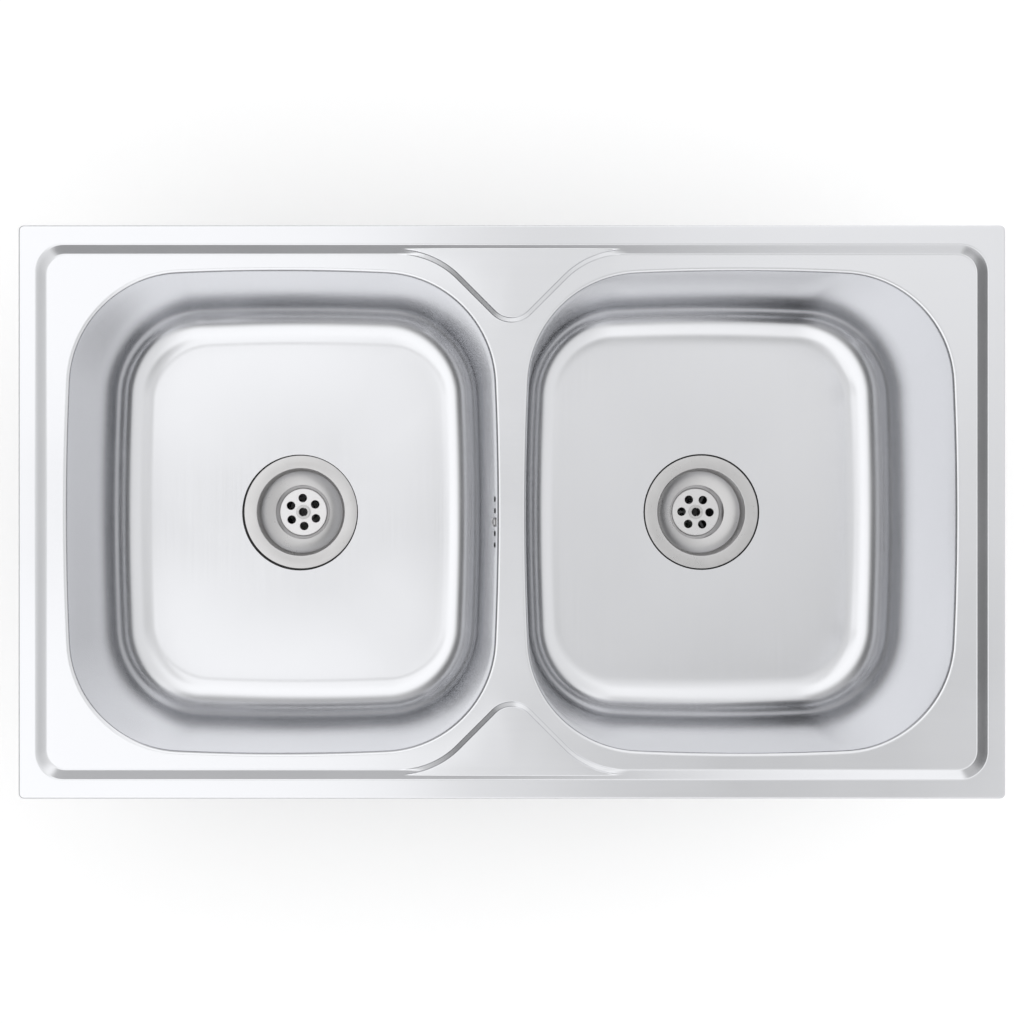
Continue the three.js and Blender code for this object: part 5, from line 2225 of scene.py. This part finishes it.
@dataclass
class WorktopClip:
    """One worktop clip. In its own frame +X points out of the sink, and z is the sink's."""

    place: Matrix
    top: float
    pivot_z: float = -48 * MM
    inset: float = 3.6 * MM
    metal: float = 1.2 * MM
    width: float = 24 * MM
    flange: float = 9 * MM
    ears: float = 16 * MM
    ear_reach: float = 10 * MM
    above: float = 8 * MM
    below: float = 6 * MM
    pin: float = 2 * MM
    pin_proud: float = 1 * MM
    barrel: float = 3.7 * MM
    barrel_length: float = 15 * MM
    arm_thickness: float = 2.6 * MM
    arm_width: float = 12 * MM
    arm_length: float = 34 * MM
    clamp_arm: float = 25 * MM
    boss: float = 4.6 * MM
    boss_inner: float = 2.4 * MM
    boss_length: float = 9 * MM
    screw: float = 2.1 * MM
    screw_length: float = 24.5 * MM
    travel: float = 9 * MM
    head: float = 4 * MM
    head_height: float = 2.5 * MM
    bend: float = 2.2 * MM
    edge: float = 0.25 * MM
    ear_gap: float = 0.3 * MM
    ear_corner: float = 3.2 * MM
    ear_edge: float = 0.2 * MM
    pin_edge: float = 0.3 * MM
    rivet: float = 1.45
    rivet_edge: float = 0.35 * MM
    arm_corner: float = 2.5 * MM
    arm_edge: float = 0.35 * MM
    bar_edge: float = 0.4 * MM
    head_edge: float = 0.35 * MM
    head_sides: int = 6
    tooth: float = 0.9 * MM
    tooth_pitch: float = 2.6 * MM
    tooth_start: float = 2.2 * MM
    tooth_sink: float = 0.6 * MM
    tooth_count: int = 3
    tooth_edge: float = 0.3 * MM
    tooth_inset: float = 1 * MM
    bore_reach: float = 20 * MM
    screw_pitch: float = 0.8 * MM
    screw_thread: float = 0.28 * MM
    slot: Point = (10 * MM, 1 * MM)

    def bracket(self) -> Piece:
        """The bent bracket with its two ears and its riveted pin.

        Returns:
            The bracket, in the clip's own frame.
        """
        half = self.width / 2
        foot = self.pivot_z - self.below
        corners = [(0, self.top), (-self.flange, self.top), (-self.flange, foot)]
        bend = rounded(corners, self.bend, steps=6, closed=False)
        section = [*bend, *parallel(bend, -self.metal)[::-1]]
        sides = (-half, -half + self.edge, half - self.edge, half)
        rings = [np.array([(x, y, z) for x, z in section]) for y in sides]
        made = mesh_object("bracket", *skin(rings, closed=False))
        start, end = -self.flange + self.ear_gap, self.ear_reach - self.flange
        outline = rectangle(start, foot, end, self.pivot_z + self.above)
        outline = rounded(outline, self.ear_corner, steps=6)
        tools = []
        for y in (self.ears / 2, -self.ears / 2 - self.metal):
            ear = plate("ear", outline, self.metal, self.ear_edge)
            tools.append(moved(ear, shift(y=y + self.metal) @ turn(90, "X")))
        pin_half = self.ears / 2 + self.metal + self.pin_proud
        axis = shift(-self.inset, 0, self.pivot_z)
        pin = rod("pin", self.pin, -pin_half, pin_half, self.pin_edge, PIN_TURN)
        tools.append(moved(pin, axis @ turn(90, "X")))
        for y in (-pin_half, pin_half - self.pin_proud):
            radius = self.pin * self.rivet
            rivet = rod("rivet", radius, y, y + self.pin_proud, self.rivet_edge, PIN_TURN)
            tools.append(moved(rivet, axis @ turn(-90, "X")))
        return combine(made, tools, "UNION")

    def jaw(self) -> Piece:
        """The arm with its barrel round the pin and its threaded boss.

        Returns:
            The jaw, in the clip's own frame.
        """
        outer = self.barrel - self.inset
        half, length = self.arm_width / 2, self.arm_length
        outline = rounded(rectangle(-half, -length, half, 0), self.arm_corner, steps=6)
        arm = plate("jaw", outline, self.arm_thickness, self.arm_edge)
        made = moved(arm, shift(outer, 0, self.pivot_z) @ turn(-90, "Y") @ turn(-90, "Z"))
        reach = self.barrel_length / 2
        barrel = rod("barrel", self.barrel, -reach, reach, self.bar_edge)
        axis = shift(-self.inset, 0, self.pivot_z) @ turn(90, "X")
        moved(barrel, axis)
        start = -self.inset - self.boss_inner
        screw_axis = shift(z=self.pivot_z - self.clamp_arm) @ turn(90, "Y")
        boss = rod("boss", self.boss, start, start + self.boss_length, self.bar_edge)
        moved(boss, screw_axis)
        teeth = []
        for k in range(self.tooth_count):
            reach = half - self.tooth_inset
            tooth = rod("tooth", self.tooth, -reach, reach, self.tooth_edge, TOOTH_TURN)
            z = self.pivot_z - length + (self.tooth_start + self.tooth_pitch * k)
            teeth.append(moved(tooth, shift(outer - self.tooth_sink, 0, z) @ turn(90, "X")))
        combine(made, [barrel, boss, *teeth], "UNION")
        reach = self.barrel_length
        pin_bore = rod("bore", self.pin + FIT_GAP, -reach, reach, BORE_EDGE)
        moved(pin_bore, axis)
        reach = self.bore_reach
        screw_bore = rod("bore", self.screw + FIT_GAP, -reach, reach, BORE_EDGE)
        return combine(made, [pin_bore, moved(screw_bore, screw_axis)], "DIFFERENCE")

    def clamp_screw(self) -> Piece:
        """The clamp screw with its six-sided head.

        Returns:
            The screw, in the clip's own frame.
        """
        face = -self.inset - self.boss_inner - self.travel - FIT_GAP
        ends = (face - self.screw_pitch, face + self.screw_length)
        shank = threaded_rod("screw", self.screw, *ends, self.screw_pitch, self.screw_thread)
        corners = [tuple(c) for c in circle(self.head, self.head_sides)]
        head = plate("head", corners, self.head_height, self.head_edge)
        moved(head, shift(z=face - self.head_height))
        slot = plate("slot", centred(self.slot), 2 * PAST, CUT_EDGE)
        combine(head, [moved(slot, shift(z=face - self.head_height - PAST))], "DIFFERENCE")
        made = combine(shank, [head], "UNION", THREAD_CREASE)
        return moved(made, shift(z=self.pivot_z - self.clamp_arm) @ turn(90, "Y"))


@dataclass
class ClipSet:
    """The eight worktop clips, one under each stretch of the flange."""

    foot_x: float
    foot_y: float
    deck_under: float
    panel_under: float
    setback: float = 1 * MM
    corner_setback: float = 61.9 * MM

    def places(self) -> list[tuple[str, float, int, float]]:
        """Each clip's name, place along its side, quarter turns from +X, and bracket height.

        Returns:
            The four values for each of the eight clips.
        """
        end = self.foot_x - self.corner_setback
        return [
            ("front_left", -end, 3, self.deck_under),
            ("front_centre", 0.0, 3, self.panel_under),
            ("front_right", end, 3, self.deck_under),
            ("back_left", -end, 1, self.deck_under),
            ("back_centre", 0.0, 1, self.panel_under),
            ("back_right", end, 1, self.deck_under),
            ("left_side", 0.0, 2, self.deck_under),
            ("right_side", 0.0, 0, self.deck_under),
        ]

    def build(self) -> None:
        """Makes one set of meshes for each bracket height and places copies of them."""
        shapes: dict[float, list[Piece]] = {}
        for name, along, quarters, top in self.places():
            reach_x = (self.foot_x - self.setback) * (1, 0, -1, 0)[quarters]
            reach_y = (self.foot_y - self.setback) * (0, 1, 0, -1)[quarters]
            x = reach_x + (along if quarters % 2 else 0)
            y = reach_y + (0 if quarters % 2 else along)
            clip = WorktopClip(shift(x, y) @ turn(90 * quarters, "Z"), top)
            if top not in shapes:
                shapes[top] = [clip.bracket(), clip.jaw(), clip.clamp_screw()]
            for shape, label in zip(shapes[top], ("bracket", "jaw", "screw"), strict=True):
                copy = bpy.data.objects.new(label, shape.data.copy())
                bpy.context.scene.collection.objects.link(copy)
                finish = DECK_STEEL if label == "bracket" else ZINC
                fit(moved(copy, clip.place), f"{name}_clip_{label}", finish)
        for shape in [s for group in shapes.values() for s in group]:
            bpy.data.objects.remove(shape)


# ---------------------------------------------------------------- the studio and the camera


@dataclass(frozen=True)
class Studio:
    """A pale floor under a light tent, which is bright overhead and shaded round the sides.

    The tent's levels are those that a white card would show, and the directions are from the
    sink's centre: across is the direction's X, and up is its Z. A span is where a level starts to
    change, and where it has changed. The edge is how high the horizon's shade reaches, as a level,
    its change across and its change to the back. The inner zone is what lies overhead.
    """

    floor_z: float
    shade_x: float
    shade_y: float
    tent_radius: float = 8.0
    floor_size: float = 30.0
    overhead_left: float = 1.27
    overhead_right: float = 0.86
    overhead_lean: float = 0.8
    overhead_seam: float = 0.38
    ring_left: float = 1.33
    ring_right: float = 0.98
    horizon_far_left: float = 0.2
    horizon_left: float = 0.5
    horizon_middle: float = 1.05
    horizon_right: float = 0.62
    horizon_lean: float = 0.2
    overhead_span: Point = (-0.06, 0.06)
    lean_span: Point = (0.05, 0.3)
    seam_span: Point = (0.0, 0.06)
    seam_reach: Point = (0.02, 0.085)
    ring_span: Point = (0.0, 0.6)
    far_left_span: Point = (-0.85, -0.35)
    middle_span: Point = (0.05, 0.4)
    right_span: Point = (0.5, 0.95)
    edge: tuple[float, float, float] = (0.54, -0.155, 0.06)
    edge_below: float = 0.16
    edge_above: float = 0.1
    inner: Point = (0.9, -0.12)
    inner_fade: float = 0.05
    floor_colour: float = 0.86
    floor_roughness: float = 0.8
    floor_glow: float = 0.25
    glow_fade: float = 0.05
    backdrop: Point = (0.6, 0.4)
    tent_rows: int = 16
    tent_crease: float = 80

    def tent_material(self) -> bpy.types.Material:
        """The tent's glow, which changes with the direction from the sink.

        Returns:
            The material of the tent.
        """
        made = bpy.data.materials.new("light_tent")
        made.use_nodes = True
        made.node_tree.nodes.clear()
        tree = Tree(made.node_tree)
        direction = tree.node("ShaderNodeVectorMath", {"0": tree.place()}, operation="NORMALIZE")
        across, back, up = tree.node("ShaderNodeSeparateXYZ", {"0": direction.outputs[0]}).outputs
        lean = tree.times(back, tree.ramp(across, *self.lean_span, 0.0, self.overhead_lean))
        overhead = tree.ramp(
            across, *self.overhead_span, self.overhead_left, self.overhead_right
        )
        seam = tree.ramp(across, *self.seam_span, self.overhead_seam, 0.0)
        fade = tree.ramp(tree.math("ABSOLUTE", back), *self.seam_reach, 1.0, 0.0)
        overhead = tree.minus(tree.plus(overhead, lean), tree.times(seam, fade))
        ring = tree.ramp(across, *self.ring_span, self.ring_left, self.ring_right)
        near = tree.ramp(across, *self.far_left_span, self.horizon_far_left, self.horizon_left)
        rise = tree.ramp(across, *self.middle_span, near, self.horizon_middle)
        drop = self.horizon_middle - self.horizon_right
        fall = tree.ramp(across, *self.right_span, 0.0, drop)
        slant = tree.plus(tree.times(back, self.horizon_lean), 1.0)
        horizon = tree.times(tree.minus(rise, fall), slant)
        level, by_across, by_back = self.edge
        edge = tree.plus(tree.plus(tree.times(across, by_across), tree.times(back, by_back)), level)
        below, above = tree.minus(edge, self.edge_below), tree.plus(edge, self.edge_above)
        low = tree.ramp(up, below, above, horizon, ring)
        inner = tree.plus(tree.times(across, self.inner[1]), self.inner[0])
        below, above = tree.minus(inner, self.inner_fade), tree.plus(inner, self.inner_fade)
        level = tree.ramp(up, below, above, low, overhead)
        glow = tree.node("ShaderNodeEmission", {"Strength": level})
        output = tree.node("ShaderNodeOutputMaterial")
        tree.link(glow.outputs[0], output.inputs["Surface"])
        return made

    def tent(self) -> None:
        """The tent: half a sphere over the floor, hidden from the camera itself."""
        rings = []
        for k in range(self.tent_rows):
            angle = k / self.tent_rows * math.pi / 2
            reach, height = self.tent_radius * math.cos(angle), self.tent_radius * math.sin(angle)
            rings.append(at_level(circle(reach, ROUND_TURN), height))
        rings[0][:, 2] = self.floor_z
        points, faces = skin(rings, closed=False)
        made = mesh_object("light_tent", points, faces[:-2] + faces[-1:], self.tent_crease)
        made.data.materials.append(self.tent_material())
        made.visible_camera = False
        made.visible_shadow = False
        made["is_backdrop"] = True

    def floor(self) -> None:
        """The pale floor. It shows nearly white, and keeps the sink's soft shadow; under the sink's
        outline its glow fades out, a painted shade there.
        """
        half = self.floor_size / 2
        corners = at_level(np.array(rectangle(-half, -half, half, half)), self.floor_z)
        made = mesh_object("floor", corners, [[0, 1, 2, 3]])
        material, tree, shader = blank_material("pale_floor")
        shader.inputs["Base Color"].default_value = (self.floor_colour,) * 3 + (1,)
        shader.inputs["Roughness"].default_value = self.floor_roughness
        x, y, _ = tree.node("ShaderNodeSeparateXYZ", {"0": tree.place()}).outputs
        # Painted shade: the glow fades out under the sink's outline.
        beyond_x = tree.minus(tree.math("ABSOLUTE", x), self.shade_x)
        beyond_y = tree.minus(tree.math("ABSOLUTE", y), self.shade_y)
        beyond = tree.math("MAXIMUM", beyond_x, beyond_y)
        level = tree.times(tree.seen(), tree.ramp(beyond, -self.glow_fade, 0.0, 0.0, 1.0))
        tree.link(tree.tint((1.0, 1.0, 1.0), level), shader.inputs["Emission Color"])
        shader.inputs["Emission Strength"].default_value = self.floor_glow
        made.data.materials.append(material)
        made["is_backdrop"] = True

    def world(self) -> None:
        """A white backdrop beyond the tent."""
        world = bpy.data.worlds.new("backdrop")
        world.use_nodes = True
        bpy.context.scene.world = world
        tree = Tree(world.node_tree)
        hidden, more = self.backdrop
        level = tree.plus(tree.times(tree.seen(), more), hidden)
        background = world.node_tree.nodes["Background"]
        background.inputs["Color"].default_value = (1, 1, 1, 1)
        tree.link(level, background.inputs["Strength"])

    def build(self) -> None:
        """Makes the floor, the tent and the backdrop."""
        self.floor()
        self.tent()
        self.world()
        bpy.context.scene.view_settings.view_transform = "Standard"
        LOG.info("studio: light tent of %.1f m", self.tent_radius)


@dataclass(frozen=True)
class OverheadCamera:
    """The camera: straight above the sink, a little left of its centre."""

    x: float = -73 * MM
    distance: float = 1.0
    rim: float = 2.3 * MM
    frame_width: float = 891.3 * MM
    sensor: float = 36.0

    def build(self) -> None:
        """Makes the camera and shifts its frame so that the sink sits in the middle."""
        data = bpy.data.cameras.new("overhead")
        data.sensor_width = self.sensor
        data.lens = self.sensor * self.distance / self.frame_width
        data.shift_x = -self.x / self.frame_width
        camera = bpy.data.objects.new("overhead", data)
        camera.location = (self.x, 0, self.rim + self.distance)
        bpy.context.scene.collection.objects.link(camera)
        bpy.context.scene.camera = camera
        LOG.info("camera: %.1f mm lens at %.2f m", data.lens, self.distance)


# ---------------------------------------------------------------- the sink


class KitchenSink:
    """The sink's fine pieces, sized by the plain solids."""

    bowl_flange = 4 * MM
    waste_offset = 0.8 * MM
    seat_shift = (-0.65 * MM, -0.55 * MM)
    lip_gap = 0.3 * MM
    seal_width = 7.5 * MM
    plate_turns = (math.radians(33), math.radians(-1.5))

    def __init__(self) -> None:
        """Reads the sizes that the solids give."""
        low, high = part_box("deck_plate")
        self.half = (high - low) / 2
        self.top, self.lip = high.z, low.z
        bowl_low, bowl_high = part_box("right_bowl")
        self.outline = BowlOutline(
            (bowl_high.x - bowl_low.x) / 2 - self.bowl_flange,
            (bowl_high.y - bowl_low.y) / 2 - self.bowl_flange,
        )
        self.bowl_x = (bowl_low.x + bowl_high.x) / 2
        self.deck = bowl_high.z + SHEET
        self.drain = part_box("right_strainer_cup")[1].z
        self.waste_x = self.bowl_x - self.waste_offset

    def build(self) -> None:
        """Builds every piece, from the top down."""
        outline, deck, drain = self.outline, self.deck, self.drain
        shift_left = self.seat_shift
        bowls = {
            "left": Bowl(outline, -self.bowl_x, -self.waste_x, deck, drain, shift_left),
            "right": Bowl(outline, self.bowl_x, self.waste_x, deck, drain),
        }
        hole = outline.loop(-bowls["left"].rim_reach - SEAM_GAP)
        top = PressedTop(self.half.x, self.half.y, self.top, self.lip_gap, self.bowl_x, hole)
        fit(top.build(), "deck_plate", DECK_STEEL)
        low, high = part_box("rim_seal")
        seal = RimSeal(high.x, high.y, high.z - low.z, self.seal_width)
        fit(seal.build(), "rim_seal", FOAM)
        left_turn, right_turn = self.plate_turns
        wastes = {
            "left": StrainerWaste("left", -self.waste_x, drain, left_turn, shift_left),
            "right": StrainerWaste("right", self.waste_x, drain, right_turn),
        }
        overflow = Overflow(bowls["left"], wastes["left"])
        for side, bowl in bowls.items():
            made = bowl.build(f"{side}_bowl")
            if side == "left":
                overflow.cut_slots(made)
            fit(made, f"{side}_bowl", BOWL_STEEL)
            self.pad(side, bowl)
            wastes[side].build()
        overflow.build()
        panel_under = top.deck + top.panel_step.drop - SHEET
        ClipSet(top.foot_x, top.foot_y, self.deck - SHEET, panel_under).build()

    def pad(self, side: str, bowl: Bowl) -> None:
        """Makes a bowl's sound pad in the place of its solid.

        Args:
            side: left or right.
            bowl: the bowl that it is stuck to.
        """
        low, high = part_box(f"{side}_sound_pad")
        top = bowl.drain - SHEET - FIT_GAP
        pad = SoundPad((high.x - low.x) / 2, top, high.z - top, top - low.z)
        fit(pad.build(f"{side}_pad", bowl.centre_x), f"{side}_sound_pad", BITUMEN)


def corners(bounds: tuple[Vector, Vector]) -> list[list[float]]:
    """A box's two corners as plain lists."""
    return [list(corner) for corner in bounds]


def main() -> None:
    """Builds the camera, the sink and the studio."""
    logging.basicConfig(level=logging.INFO, format="%(name)s: %(message)s")
    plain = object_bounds()
    OverheadCamera().build()
    KitchenSink().build()
    Studio(plain[0].z, plain[1].x, plain[1].y).build()


if __name__ == "__main__":
    main()
